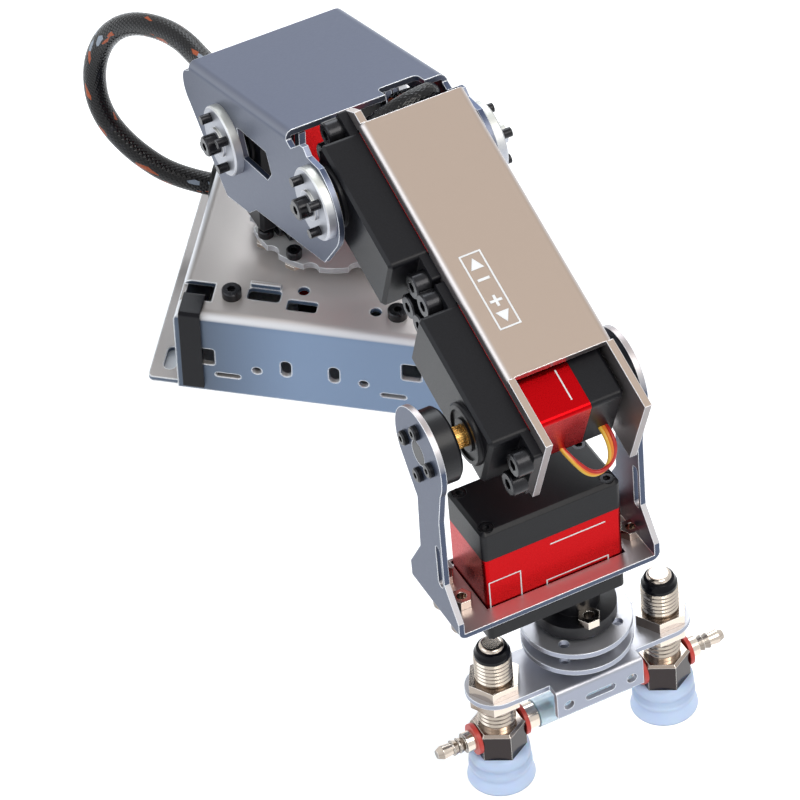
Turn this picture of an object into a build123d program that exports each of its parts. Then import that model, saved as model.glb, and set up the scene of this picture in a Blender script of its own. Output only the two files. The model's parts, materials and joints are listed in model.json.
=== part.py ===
"""Servo robot arm with a twin suction tool, in millimetres, standing on z = 0 with its front to -Y."""
import os
from math import cos, radians, sin, tan

from build123d import *

# Rest pose, in degrees: the pose in which the model is drawn
yaw_angle = 37.6
shoulder_back = 2.9
shoulder_lift = 23.6
forearm_drop = 14.3
tool_lean = 7.1

# Servo: shaft near one end of the case, ears at both ends
servo_length = 40.0
servo_width = 20.0
shaft_inset = 10.0
gear_height = 11.0
boss_height = 1.3
boss_radius = 8.5
motor_height = 17.6
cover_height = 9.5
ear_reach = 7.25
ear_thickness = 2.5
ear_hole_inset = 2.5
ear_hole_spacing = 10.0
ear_hole_radius = 2.15
spline_radius = 2.95
spline_height = 3.6
spline_teeth = 25
spline_stub = 5.0
case_screw_inset = 2.6
case_screw_radius = 1.0
case_corner = 1.4
servo_clearance = 0.3
running_fit = 0.05

# Base cover
base_width = 75.6
base_depth = 81.6
base_height = 30.0
base_sheet = 1.6
base_bend = 3.0
flange_reach = 7.2
flange_slot_length = 8.4
flange_slot_width = 3.4
flange_slot_spacing = 64.0

# Turret
turret_radius = 24.0
turret_sheet = 2.0
turret_gap = 0.6
turret_spacer = 3.85
yaw_motor_height = 13.0
yaw_cover_height = 8.4
turret_screw_circle = 21.9
turret_head_radius = 2.2
turret_notch_radius = 2.6
turret_nut_thickness = 1.3
turret_pitch = 30
turret_turn = 2
turret_steps = [0, 1, 3, 4, 6, 7, 9, 11]
horn_radius = 10.0
horn_thickness = 2.4
hub_radius = 5.0

# Arm channels; places across the arm are measured to the left of the yaw axis
seat_left = 14.9
cheek_right = 15.1
channel_sheet = 2.0
arm_sheet = 1.6
arm_left = 29.9
arm_right = 17.3
elbow_along = 62.9
elbow_above = 2.0
arm_back = 19.8
arm_front = 47.2
arm_roof = 16.7
arm_skirt = 18.2
arm_heel_drop = 21.3
arm_bend = 2.4
lobe_radius = 11.5
bracket_depth = 13.0
bracket_rise = 6.0
cheek_radius = 10.0

forearm_length = 75.6
forearm_back = 9.6
forearm_roof_end = 72.3
forearm_end = 93.0
forearm_roof = 13.8
forearm_skirt = 12.4
forearm_bend = 2.0

# Metal discs on the upper arm and the fasteners in them
disc_radius = 10.0
disc_thickness = 2.6
disc_step = 0.8
stud_circle = 7.0
stud_turn = 20
stud_radius = 1.3
stud_length = 7.2
screw_head_radius = 2.9
screw_head_height = 3.6
socket_radius = 1.3
socket_depth = 1.6
pivot_radius = 2.5

# Wrist bracket
ear_left = 39.9
ear_right = 18.7
bracket_sheet = 1.6
bracket_bend = 2.4
bracket_drop = 51.4
bracket_front = 15.3
bracket_back = 11.0
ear_top_radius = 12.5
ear_waist_front = 8.7
ear_waist_back = 3.0
ear_waist_drop = 17.0
tool_servo_middle = 9.0
wrist_horn_radius = 10.0
wrist_horn_thickness = 6.2
wrist_spline_height = 7.4
spacer_radius = 5.0

# Suction tool; depths are measured under the wrist axis, along the tool's axis
tool_horn_radius = 11.0
tool_horn_hub = 6.5
tool_hub_height = 6.1
tool_flange_height = 4.4
horn_gap = 0.6
plate_radius = 15.0
plate_sheet = 1.6
upper_spacer = 1.2
middle_spacer = 4.4
lower_spacer = 5.4
spacer_ring = 5.6
spacer_bore = 1.6
cross_half_width = 8.0
cross_fold_width = 26.0
cross_flange_front = 12.0
cross_flange_drop = 9.0
stem_spacing = 50.3
stem_above = 15.6
stem_below = 13.4
stem_radius = 4.7
stem_cap_radius = 3.4
stem_cap_height = 3.0
nut_across = 13.0
nut_thickness = 3.4
manifold_across = 13.0
manifold_height = 9.0
port_drop = 3.6
barb_reach = 18.5
inner_fitting = 8.0
washer_radius = 4.4
washer_thickness = 1.2
tube_radius = 4.0
tube_bore = 2.4
tube_grip = 4.6
cup_top_radius = 6.6
cup_waist_radius = 7.2
cup_lip_radius = 9.2
cup_waist_drop = 6.0
cup_height = 11.0
cup_wall = 1.4
boss_depth = bracket_drop + bracket_sheet + gear_height + boss_height
tool_horn_flange_top = boss_depth + horn_gap + tool_hub_height
tool_horn_bottom = tool_horn_flange_top + tool_flange_height
upper_plate_depth = tool_horn_bottom + upper_spacer
lower_plate_depth = upper_plate_depth + plate_sheet + middle_spacer
cross_depth = lower_plate_depth + plate_sheet + lower_spacer
stem_top = cross_depth - stem_above
stem_bottom = cross_depth + stem_below
manifold_top = stem_bottom
manifold_bottom = manifold_top + manifold_height
barb_depth = manifold_top + port_drop
cup_waist_depth = manifold_bottom + cup_waist_drop
cup_bottom = manifold_bottom + cup_height

# Cable
cable_radius = 3.3
cable_entry_y = 19.0
cable_entry_z = 19.5
cable_side = 22.7
cable_under_roof = 4.0
cable_gap = 0.3
loop_cut_height = 46.0
lead_cut_radius = 31.0
gland_radius = 6.2
gland_flange = 7.6
clamp_width = 9.4
clamp_length = 4.0
lead_radius = 1.3

servo_body = cover_height + motor_height
shaft_to_far_end = servo_length - shaft_inset
yaw_seat = base_height - base_sheet - turret_spacer - ear_thickness
turret_bottom = yaw_seat + gear_height + boss_height + turret_gap
turret_top = turret_bottom + turret_sheet
shoulder_height = turret_top + shaft_to_far_end + ear_reach + 0.4


def direction(angle, lift):
    """Unit vector of a link: angle is the arm's yaw, lift its rise above level."""
    yaw = radians(angle)
    rise = radians(lift)
    return Vector(sin(yaw) * cos(rise), -cos(yaw) * cos(rise), sin(rise))


left = Vector(-cos(radians(yaw_angle)), -sin(radians(yaw_angle)), 0)
right = left * -1
up = Vector(0, 0, 1)

# Link frames: x runs along the link, y to its upper side, z to the arm's left
shoulder_point = up * shoulder_height - direction(yaw_angle, 0) * shoulder_back
arm = Plane(origin=shoulder_point, x_dir=direction(yaw_angle, shoulder_lift), z_dir=left)
elbow_point = shoulder_point + arm.x_dir * elbow_along + arm.y_dir * elbow_above
forearm = Plane(origin=elbow_point, x_dir=direction(yaw_angle, -forearm_drop), z_dir=left)
wrist_point = elbow_point + forearm.x_dir * forearm_length
wrist = Plane(origin=wrist_point, x_dir=direction(yaw_angle, tool_lean), z_dir=left)
turret = Plane(origin=(0, 0, 0), x_dir=right, z_dir=up)
tool_axis_left = tool_servo_middle - servo_length / 2 + shaft_inset
tool = Plane(origin=wrist_point + left * tool_axis_left, x_dir=right, z_dir=wrist.y_dir)


def spot(frame, x=0, y=0, z=0):
    """The frame moved to a place given in its own directions."""
    origin = frame.origin + frame.x_dir * x + frame.y_dir * y + frame.z_dir * z
    return Plane(origin=origin, x_dir=frame.x_dir, z_dir=frame.z_dir)


def channel_end(frame, along, left_side, right_side):
    """Plane across a channel, x to the arm's right and y to the link's upper side."""
    middle = (left_side - right_side) / 2
    return Plane(origin=spot(frame, x=along, z=middle).origin, x_dir=frame.z_dir * -1, z_dir=frame.x_dir)


def normal_axis(frame):
    """Axis along the frame's normal, for choosing faces and edges."""
    return Axis(frame.origin, frame.z_dir)


os.makedirs("parts", exist_ok=True)
made = []


def keep(part, name):
    """Label a finished piece and write its file."""
    part.label = name
    export_step(part, f"parts/{name}.step")
    made.append(part)


def socket_screw(frame, head_radius, head_height, shank_radius, shank_length):
    """Socket head screw: head above the frame's plane, shank below it."""
    with BuildPart() as screw:
        with BuildSketch(frame):
            Circle(head_radius)
        extrude(amount=head_height)
        chamfer(screw.edges().group_by(normal_axis(frame))[-1], 0.35)
        with BuildSketch(spot(frame, z=head_height)):
            RegularPolygon(socket_radius * head_radius / screw_head_radius, 6)
        extrude(amount=-socket_depth, mode=Mode.SUBTRACT)
        with BuildSketch(frame):
            Circle(shank_radius)
        extrude(amount=-shank_length)
    return screw.part


def hex_nut(frame, across_flats, thickness, bore_radius):
    """Hex nut that lies on the frame's plane, with chamfered corners."""
    with BuildPart() as nut:
        with BuildSketch(frame):
            RegularPolygon(across_flats / 2, 6, major_radius=False)
            Circle(bore_radius, mode=Mode.SUBTRACT)
        extrude(amount=thickness)
    return nut.part


def servo_frame(shaft_point, length_direction, output_direction):
    """Frame on the underside of the ears, at the shaft, x to the far end of the case."""
    return Plane(origin=shaft_point, x_dir=length_direction, z_dir=output_direction)


def servo_cases(frame, name, near_ear=ear_reach, motor=motor_height, cover=cover_height):
    """Gear case with ears, motor case and rear cover of one servo."""
    middle = shaft_to_far_end - servo_length / 2
    hole_far = shaft_to_far_end + ear_reach - ear_hole_inset
    hole_near = -shaft_inset - ear_reach + ear_hole_inset
    body = spot(frame, x=middle)

    with BuildPart() as gear_case:
        with BuildSketch(body):
            RectangleRounded(servo_length, servo_width, case_corner)
        extrude(amount=gear_height)
        chamfer(gear_case.edges().group_by(normal_axis(frame))[-1], 0.9)
        ears_start = -shaft_inset - near_ear
        ears_end = shaft_to_far_end + ear_reach
        with BuildSketch(spot(frame, x=(ears_start + ears_end) / 2)):
            RectangleRounded(ears_end - ears_start, servo_width - 0.4, 0.8)
        extrude(amount=ear_thickness)
        with BuildSketch(spot(frame, z=gear_height)):
            Circle(boss_radius)
        extrude(amount=boss_height)
        chamfer(gear_case.edges().group_by(normal_axis(frame))[-1], 0.5)
        holes = [hole_far, hole_near] if near_ear > 0 else [hole_far]
        for hole in holes:
            with BuildSketch(spot(frame, x=hole)):
                with GridLocations(1, ear_hole_spacing, 1, 2):
                    Circle(ear_hole_radius)
            extrude(amount=ear_thickness, mode=Mode.SUBTRACT)
        with BuildSketch(spot(frame, z=gear_height + boss_height)):
            Circle(spline_radius + running_fit)
        extrude(amount=-spline_stub, mode=Mode.SUBTRACT)
        with BuildSketch(spot(frame, z=gear_height + boss_height)):
            Circle(boss_radius - 1.6)
            Circle(spline_radius + 1.6, mode=Mode.SUBTRACT)
        extrude(amount=-0.6, mode=Mode.SUBTRACT)
    keep(gear_case.part, f"{name}_gear_case")

    with BuildPart() as motor_case:
        with BuildSketch(body):
            RectangleRounded(servo_length, servo_width, case_corner)
        extrude(amount=-motor)
    keep(motor_case.part, f"{name}_motor_case")

    cover_plane = spot(frame, x=middle, z=-motor)
    with BuildPart() as rear_cover:
        with BuildSketch(cover_plane):
            RectangleRounded(servo_length, servo_width, case_corner)
        extrude(amount=-cover)
        chamfer(rear_cover.edges().group_by(normal_axis(frame))[0], 1.0)
        with BuildSketch(spot(cover_plane, z=-cover)):
            with GridLocations(servo_length - 2 * case_screw_inset, servo_width - 2 * case_screw_inset, 2, 2):
                Circle(2 * case_screw_radius)
        extrude(amount=2.0, mode=Mode.SUBTRACT)
    keep(rear_cover.part, f"{name}_rear_cover")


def servo_spline(frame, name, height=spline_height):
    """Toothed brass output shaft with its stub in the gear case."""
    tooth_depth = 0.3
    top = gear_height + boss_height
    with BuildPart() as spline:
        with BuildSketch(spot(frame, z=top - spline_stub)):
            Circle(spline_radius)
        extrude(amount=spline_stub)
        with BuildSketch(spot(frame, z=top)):
            Circle(spline_radius - tooth_depth)
            with PolarLocations(spline_radius - tooth_depth, spline_teeth):
                Rectangle(2 * tooth_depth, 0.36)
        extrude(amount=height)
    keep(spline.part, f"{name}_spline")


def case_screws(frame, depth=servo_body):
    """Four small screws in the corners of a servo's rear cover."""
    middle = shaft_to_far_end - servo_length / 2
    bottom = spot(frame, x=middle, z=-depth)
    heads = []
    for x in (-1, 1):
        for y in (-1, 1):
            corner = spot(bottom, x=x * (servo_length / 2 - case_screw_inset),
                          y=y * (servo_width / 2 - case_screw_inset))
            with BuildPart() as head:
                with BuildSketch(spot(corner, z=0.2)):
                    Circle(2 * case_screw_radius - 0.1)
                extrude(amount=1.8)
                with BuildSketch(spot(corner, z=0.2)):
                    RegularPolygon(case_screw_radius, 6)
                extrude(amount=0.8, mode=Mode.SUBTRACT)
            heads.append(head.part)
    return heads


def ear_screws(frame, places, reach, head_radius=3.4, head_height=4.2):
    """Socket screws through a servo's ears into the sheet under them."""
    screws = []
    for x in places:
        for y in (-ear_hole_spacing / 2, ear_hole_spacing / 2):
            screws.append(socket_screw(spot(frame, x=x, y=y, z=ear_thickness), head_radius, head_height,
                                       ear_hole_radius - 0.15, ear_thickness + reach))
    return screws


ear_far = shaft_to_far_end + ear_reach - ear_hole_inset
ear_near = -shaft_inset - ear_reach + ear_hole_inset

yaw_servo = servo_frame(up * yaw_seat, Vector(0, 1, 0), up)
shoulder_servo = servo_frame(shoulder_point + left * seat_left, up * -1, left)
elbow_servo = servo_frame(elbow_point + left * seat_left, forearm.x_dir, left)
wrist_servo = servo_frame(wrist_point + left * seat_left, forearm.x_dir * -1, left)
tool_seat = wrist_point + left * tool_axis_left - wrist.y_dir * (bracket_drop + bracket_sheet)
tool_servo = servo_frame(tool_seat, left, wrist.y_dir * -1)

# Base cover: folded box with open underside, slotted front wall and side flanges
front_y = -base_depth / 2
long_slot_x, long_slot_z = 23.3, 23.0
round_hole_x, round_hole_z = 15.0, 19.5
tall_slot_x, tall_slot_z = 6.75, 17.4
cover_screw_x, cover_screw_y = 23.1, front_y + 9.1
strap_width, strap_thickness, strap_back = 6.0, 1.2, front_y + 6.4
notch_depth, notch_width, notch_y = 7.0, 9.6, front_y + 9.3

with BuildPart() as base_cover:
    with BuildSketch():
        Rectangle(base_width, base_depth)
    extrude(amount=base_height)
    fillet(base_cover.edges().group_by(Axis.Z)[-1], base_bend)
    with BuildSketch():
        Rectangle(base_width - 2 * base_sheet, base_depth - 2 * base_sheet)
    extrude(amount=base_height - base_sheet, mode=Mode.SUBTRACT)
    with BuildSketch():
        with Locations((-(base_width + flange_reach) / 2, 0), ((base_width + flange_reach) / 2, 0)):
            RectangleRounded(flange_reach + 2 * base_sheet, base_depth - 2.0, 1.5)
        Rectangle(base_width - 2 * base_sheet, base_depth, mode=Mode.SUBTRACT)
        with GridLocations(base_width + flange_reach, flange_slot_spacing, 2, 2):
            SlotOverall(flange_slot_length, flange_slot_width, rotation=90, mode=Mode.SUBTRACT)
    extrude(amount=base_sheet)
    # Opening for the servo's gear case in the roof
    with BuildSketch(Plane.XY.offset(base_height)):
        with Locations((0, shaft_to_far_end - servo_length / 2)):
            Rectangle(servo_width + 2 * servo_clearance, servo_length + 2 * servo_clearance)
    extrude(amount=-base_sheet, mode=Mode.SUBTRACT)
    # Holes along the front edge of the roof
    with BuildSketch(Plane.XY.offset(base_height)):
        with Locations((-14.3, front_y + 10.6)):
            RectangleRounded(9.2, 4.4, 1.0)
        with Locations((-3.3, front_y + 8.2)):
            RectangleRounded(8.4, 4.0, 0.8)
        with Locations((-3.9, front_y + 13.9), (17.0, front_y + 9.4)):
            Circle(1.6)
        with Locations((-cover_screw_x, cover_screw_y), (cover_screw_x, cover_screw_y)):
            Circle(1.6)
        with Locations((-cover_screw_x, -cover_screw_y), (cover_screw_x, -cover_screw_y)):
            Circle(1.6)
        with Locations((0, ear_far), (0, ear_near)):
            with GridLocations(ear_hole_spacing, 1, 2, 1):
                Circle(ear_hole_radius)
    extrude(amount=-base_sheet, mode=Mode.SUBTRACT)
    # Slots in the front wall
    with BuildSketch(Plane.XZ.offset(-front_y)):
        with GridLocations(2 * long_slot_x, 1, 2, 1):
            with Locations((0, base_height - long_slot_z)):
                SlotOverall(7.2, 1.7)
        with GridLocations(2 * round_hole_x, 1, 2, 1):
            with Locations((0, base_height - round_hole_z)):
                Circle(1.35)
        with GridLocations(2 * tall_slot_x, 1, 2, 1):
            with Locations((0, base_height - tall_slot_z)):
                SlotOverall(6.2, 3.0, rotation=90)
        with Locations((28.4, base_height - 12.6), (-29.6, base_height - 16.2)):
            RectangleRounded(5.6, 6.4, 0.8)
    extrude(amount=-base_sheet, mode=Mode.SUBTRACT)
    # Corner notch for the strap and side opening for the cable
    with BuildSketch(Plane.XY.offset(base_height)):
        with Locations((-base_width / 2 + notch_width / 2, notch_y)):
            Rectangle(notch_width, notch_depth)
    extrude(amount=-base_sheet, mode=Mode.SUBTRACT)
    with BuildSketch(Plane.YZ.offset(-base_width / 2)):
        with Locations((cable_entry_y, cable_entry_z)):
            Circle(gland_radius)
    extrude(amount=base_sheet, mode=Mode.SUBTRACT)
    # Raised tab behind the first roof hole
    tab_y = front_y + 12.9
    with BuildSketch(Plane.YZ.offset(-18.6)):
        with BuildLine():
            Polyline((tab_y, base_height - base_sheet), (tab_y, base_height + 1.6),
                     (tab_y + 1.1, base_height + 1.6), (tab_y + 1.7, base_height - base_sheet),
                     (tab_y, base_height - base_sheet))
        make_face()
    extrude(amount=8.6)
keep(base_cover.part, "base_cover")

# Strap that comes up through the corner notch and is folded down the front wall
strap_left = -base_width / 2 + base_sheet + 0.2
with BuildPart() as edge_strap:
    with BuildSketch(Plane.YZ.offset(strap_left)) as strap_section:
        with BuildLine():
            Polyline((strap_back, base_height - 8), (strap_back, base_height), (front_y, base_height),
                     (front_y, 2.0), (front_y - strap_thickness, 2.0),
                     (front_y - strap_thickness, base_height + strap_thickness),
                     (strap_back + strap_thickness, base_height + strap_thickness),
                     (strap_back + strap_thickness, base_height - 8), (strap_back, base_height - 8))
        make_face()
        outer_corners = strap_section.vertices().group_by(Axis.Y)[-1]
        fillet(outer_corners, 0.8 * strap_thickness)
    extrude(amount=strap_width)
keep(edge_strap.part, "edge_strap")

servo_cases(yaw_servo, "yaw", motor=yaw_motor_height, cover=yaw_cover_height)
base_screws = []
for x in (-1, 1):
    for y in (-1, 1):
        base_screws.append(socket_screw(Plane(origin=(x * cover_screw_x, y * cover_screw_y, base_height)),
                                        2.75, 2.6, 1.5, 5.0))
for y in (ear_far, ear_near):
    for x in (-ear_hole_spacing / 2, ear_hole_spacing / 2):
        base_screws.append(socket_screw(Plane(origin=(x, y, base_height)), 3.2, 2.2,
                                        ear_hole_radius - 0.15, base_sheet + turret_spacer + ear_thickness + 1.0))
base_screws += case_screws(yaw_servo, yaw_motor_height + yaw_cover_height)
keep(Compound(children=base_screws), "base_screws")

# Turret: round plate on a horn, with the shoulder bracket on top
servo_spline(yaw_servo, "yaw")
turret_places = []
for step in turret_steps:
    angle = radians(turret_turn + turret_pitch * step)
    turret_places.append((turret_screw_circle * cos(angle), turret_screw_circle * sin(angle)))
with BuildPart() as turret_plate:
    with BuildSketch(spot(turret, z=turret_bottom)):
        Circle(turret_radius)
        with PolarLocations(turret_radius + 1.2, 360 // turret_pitch, start_angle=turret_turn + turret_pitch / 2):
            Circle(turret_notch_radius, mode=Mode.SUBTRACT)
        Circle(hub_radius + 0.1, mode=Mode.SUBTRACT)
        with Locations(*turret_places):
            Circle(1.4, mode=Mode.SUBTRACT)
    extrude(amount=turret_sheet)
keep(turret_plate.part, "turret_plate")

with BuildPart() as turret_horn:
    with BuildSketch(spot(turret, z=turret_top)):
        Circle(horn_radius)
    extrude(amount=horn_thickness)
    chamfer(turret_horn.edges().group_by(Axis.Z)[-1], 0.4)
    with BuildSketch(spot(turret, z=turret_bottom)):
        Circle(hub_radius)
    extrude(amount=turret_sheet)
    with BuildSketch(spot(turret, z=turret_bottom)):
        Circle(spline_radius + running_fit)
    extrude(amount=turret_sheet + 1.2, mode=Mode.SUBTRACT)
    with BuildSketch(spot(turret, z=turret_top)):
        Circle(1.35)
    extrude(amount=horn_thickness, mode=Mode.SUBTRACT)
keep(turret_horn.part, "turret_horn")

turret_fasteners = [socket_screw(spot(turret, z=turret_top + horn_thickness), 2.75, 1.6, 1.3, 1.1)]
turret_nuts = []
for x, y in turret_places:
    turret_fasteners.append(socket_screw(spot(turret, x=x, y=y, z=turret_top), turret_head_radius, 2.4, 1.3,
                                         turret_sheet + turret_nut_thickness + 0.2))
    turret_nuts.append(hex_nut(spot(turret, x=x, y=y, z=turret_bottom - turret_nut_thickness), 5.0,
                               turret_nut_thickness, 1.35))
keep(Compound(children=turret_fasteners), "turret_screws")
keep(Compound(children=turret_nuts), "turret_nuts")

# Shoulder bracket: upright channel, left cheek open for the servo, right cheek with the pivot hole
bracket = Plane(origin=shoulder_point, x_dir=direction(yaw_angle, 0), z_dir=left)
bracket_floor = turret_top - shoulder_height
with BuildPart() as shoulder_bracket:
    with BuildSketch(spot(bracket, z=seat_left)):
        with Locations((0, (bracket_floor + bracket_rise) / 2)):
            Rectangle(2 * bracket_depth, bracket_rise - bracket_floor)
    extrude(amount=-(seat_left + cheek_right))
    with BuildSketch(spot(bracket, z=seat_left - channel_sheet)):
        with Locations((0, (bracket_floor + channel_sheet + bracket_rise) / 2 + 6)):
            Rectangle(2 * bracket_depth, bracket_rise - bracket_floor - channel_sheet + 12)
    extrude(amount=-(seat_left + cheek_right - 2 * channel_sheet), mode=Mode.SUBTRACT)
    with BuildSketch(spot(bracket, z=seat_left)):
        with Locations((0, -shaft_to_far_end / 2 + shaft_inset / 2 - servo_clearance / 2)):
            Rectangle(servo_width + 2 * servo_clearance, servo_length + servo_clearance)
        with Locations((0, -ear_far)):
            with GridLocations(ear_hole_spacing, 1, 2, 1):
                Circle(ear_hole_radius)
    extrude(amount=-channel_sheet, mode=Mode.SUBTRACT)
    with BuildSketch(spot(bracket, z=-cheek_right)):
        Rectangle(2.5 * bracket_depth, 40)
        with Locations((0, -20)):
            Rectangle(2 * cheek_radius, 40, mode=Mode.SUBTRACT)
        Circle(cheek_radius, mode=Mode.SUBTRACT)
        with Locations((0, -21)):
            Rectangle(2.6 * bracket_depth, 10, mode=Mode.SUBTRACT)
    extrude(amount=channel_sheet, mode=Mode.SUBTRACT)
    with BuildSketch(spot(bracket, z=-cheek_right)):
        Circle(pivot_radius + running_fit)
    extrude(amount=channel_sheet, mode=Mode.SUBTRACT)
    with BuildSketch(spot(turret, z=turret_top)):
        Circle(horn_radius + 0.5)
    extrude(amount=channel_sheet, mode=Mode.SUBTRACT)
keep(shoulder_bracket.part, "shoulder_bracket")

servo_cases(shoulder_servo, "shoulder", near_ear=0)
shoulder_screws = ear_screws(shoulder_servo, [ear_far], channel_sheet, head_radius=2.8, head_height=2.1)
shoulder_screws += case_screws(shoulder_servo)
keep(Compound(children=shoulder_screws), "shoulder_screws")

# Upper arm: channel with a roof and two shaped side plates
servo_spline(shoulder_servo, "shoulder")
servo_spline(elbow_servo, "elbow")


arm_width = arm_left + arm_right
bend_line = arm_roof - arm_bend
with BuildPart() as upper_arm_channel:
    end, middle = elbow_along, elbow_above
    with BuildSketch(spot(arm, z=arm_left)):
        with BuildLine():
            Line((-arm_back, bend_line), (-arm_back - 4.3, arm_roof - 3.6))
            ThreePointArc((-arm_back - 4.3, arm_roof - 3.6), (-arm_back - 7.4, 7.5), (-arm_back - 5.8, 2.9))
            Polyline((-arm_back - 5.8, 2.9), (-15.3, -arm_skirt + 1.6), (-12.2, -arm_heel_drop),
                     (3.4, -arm_heel_drop), (10.0, -arm_skirt), (end - 7.2, -arm_skirt),
                     (end + 5.0, middle - lobe_radius))
            ThreePointArc((end + 5.0, middle - lobe_radius), (end + lobe_radius - 1.2, middle),
                          (end + 4.6, middle + lobe_radius - 1.0))
            Polyline((end + 4.6, middle + lobe_radius - 1.0), (end - 2.4, middle + lobe_radius + 0.2),
                     (end - 3.8, middle + lobe_radius + 2.6), (end - 6.0, middle + lobe_radius + 2.6),
                     (arm_front + 2.2, arm_roof - 4.0), (arm_front, bend_line), (-arm_back, bend_line))
        make_face()
    extrude(amount=-arm_width)
    with BuildSketch(spot(arm, z=arm_left - arm_sheet)):
        Rectangle(4 * elbow_along, 4 * elbow_along)
    extrude(amount=-(arm_width - 2 * arm_sheet), mode=Mode.SUBTRACT)
    with BuildSketch(channel_end(arm, -arm_back, arm_left, arm_right)) as arm_section:
        with Locations((0, bend_line)):
            Rectangle(arm_width, 2 * arm_bend)
        fillet(arm_section.vertices().group_by(Axis.Y)[-1], arm_bend)
        with Locations((0, bend_line - arm_sheet)):
            Rectangle(arm_width - 2 * arm_sheet, 2 * arm_bend, mode=Mode.SUBTRACT)
    extrude(amount=arm_back + arm_front)
    # Slot, bores and stud holes in both side plates
    with BuildSketch(spot(arm, z=arm_left)):
        with BuildLine():
            FilletPolyline((disc_radius - 0.8, 6.0), (11.4, 6.4), (28.9, 5.2), (29.6, -1.2), (25.1, -4.3),
                           (disc_radius - 0.6, -3.0), (disc_radius - 0.8, 6.0), radius=0.6)
        make_face()
        for centre in ((0, 0), (elbow_along, elbow_above)):
            with Locations(centre):
                Circle(spline_radius + 1.0)
                with PolarLocations(stud_circle, 4, start_angle=stud_turn):
                    Circle(stud_radius)
    extrude(amount=-arm_width, mode=Mode.SUBTRACT)
    # Cable notch in the front edge of the roof
    with BuildSketch(Plane(origin=arm.origin + arm.y_dir * arm_roof + arm.x_dir * arm_front + right * 5.2,
                           x_dir=right, z_dir=arm.y_dir)):
        RectangleRounded(11.5, 10.4, 1.5)
    extrude(amount=-arm_sheet, mode=Mode.SUBTRACT)
keep(upper_arm_channel.part, "upper_arm_channel")


def metal_disc(frame):
    """Stepped disc that clamps on a spline, with four stud holes."""
    with BuildPart() as disc:
        with BuildSketch(frame):
            Circle(disc_radius)
        extrude(amount=disc_thickness)
        chamfer(disc.edges().group_by(normal_axis(frame))[-1], 0.4)
        with BuildSketch(spot(frame, z=disc_thickness)):
            Circle(4.2)
        extrude(amount=disc_step)
        with BuildSketch(frame):
            Circle(spline_radius + running_fit)
        extrude(amount=1.6, mode=Mode.SUBTRACT)
        with BuildSketch(frame):
            with PolarLocations(stud_circle, 4, start_angle=stud_turn):
                Circle(stud_radius)
        extrude(amount=disc_thickness, mode=Mode.SUBTRACT)
        with BuildSketch(spot(frame, z=disc_thickness + disc_step)):
            Circle(1.3)
        extrude(amount=-disc_thickness, mode=Mode.SUBTRACT)
    return disc.part


def idler_disc(frame, pin_length):
    """Disc on the right plate with a turned pin through both sheets."""
    with BuildPart() as disc:
        with BuildSketch(frame):
            Circle(disc_radius)
        extrude(amount=disc_thickness)
        chamfer(disc.edges().group_by(normal_axis(frame))[-1], 0.4)
        with BuildSketch(frame):
            with PolarLocations(stud_circle, 4, start_angle=-stud_turn):
                Circle(stud_radius)
        extrude(amount=disc_thickness, mode=Mode.SUBTRACT)
        with BuildSketch(frame):
            Circle(spline_radius + 0.95)
        extrude(amount=-arm_sheet)
        with BuildSketch(frame):
            Circle(pivot_radius)
        extrude(amount=-pin_length)
        with BuildSketch(spot(frame, z=disc_thickness)):
            Circle(screw_head_radius)
        extrude(amount=screw_head_height)
        with BuildSketch(spot(frame, z=disc_thickness + screw_head_height)):
            RegularPolygon(socket_radius, 6)
        extrude(amount=-socket_depth, mode=Mode.SUBTRACT)
    return disc.part


arm_studs = []
disc_screws = []
for centre, name in (((0, 0), "shoulder"), ((elbow_along, elbow_above), "elbow")):
    outer_left = spot(arm, *centre, z=arm_left)
    outer_right = Plane(origin=spot(arm, *centre).origin + right * arm_right,
                        x_dir=arm.x_dir, z_dir=right)
    keep(metal_disc(outer_left), f"{name}_disc")
    keep(idler_disc(outer_right, arm_right - cheek_right + channel_sheet), f"{name}_idler")
    disc_screws.append(socket_screw(spot(outer_left, z=disc_thickness + disc_step), screw_head_radius,
                                    screw_head_height, 1.25, 1.6))
    for side, turn in ((outer_left, stud_turn), (outer_right, -stud_turn)):
        for k in range(4):
            angle = radians(turn + 90 * k)
            with BuildPart() as stud:
                with BuildSketch(spot(side, x=stud_circle * cos(angle), y=stud_circle * sin(angle),
                                      z=-arm_sheet)):
                    Circle(stud_radius)
                extrude(amount=stud_length)
            arm_studs.append(stud.part)
keep(Compound(children=arm_studs), "arm_studs")
keep(Compound(children=disc_screws), "disc_screws")

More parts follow.
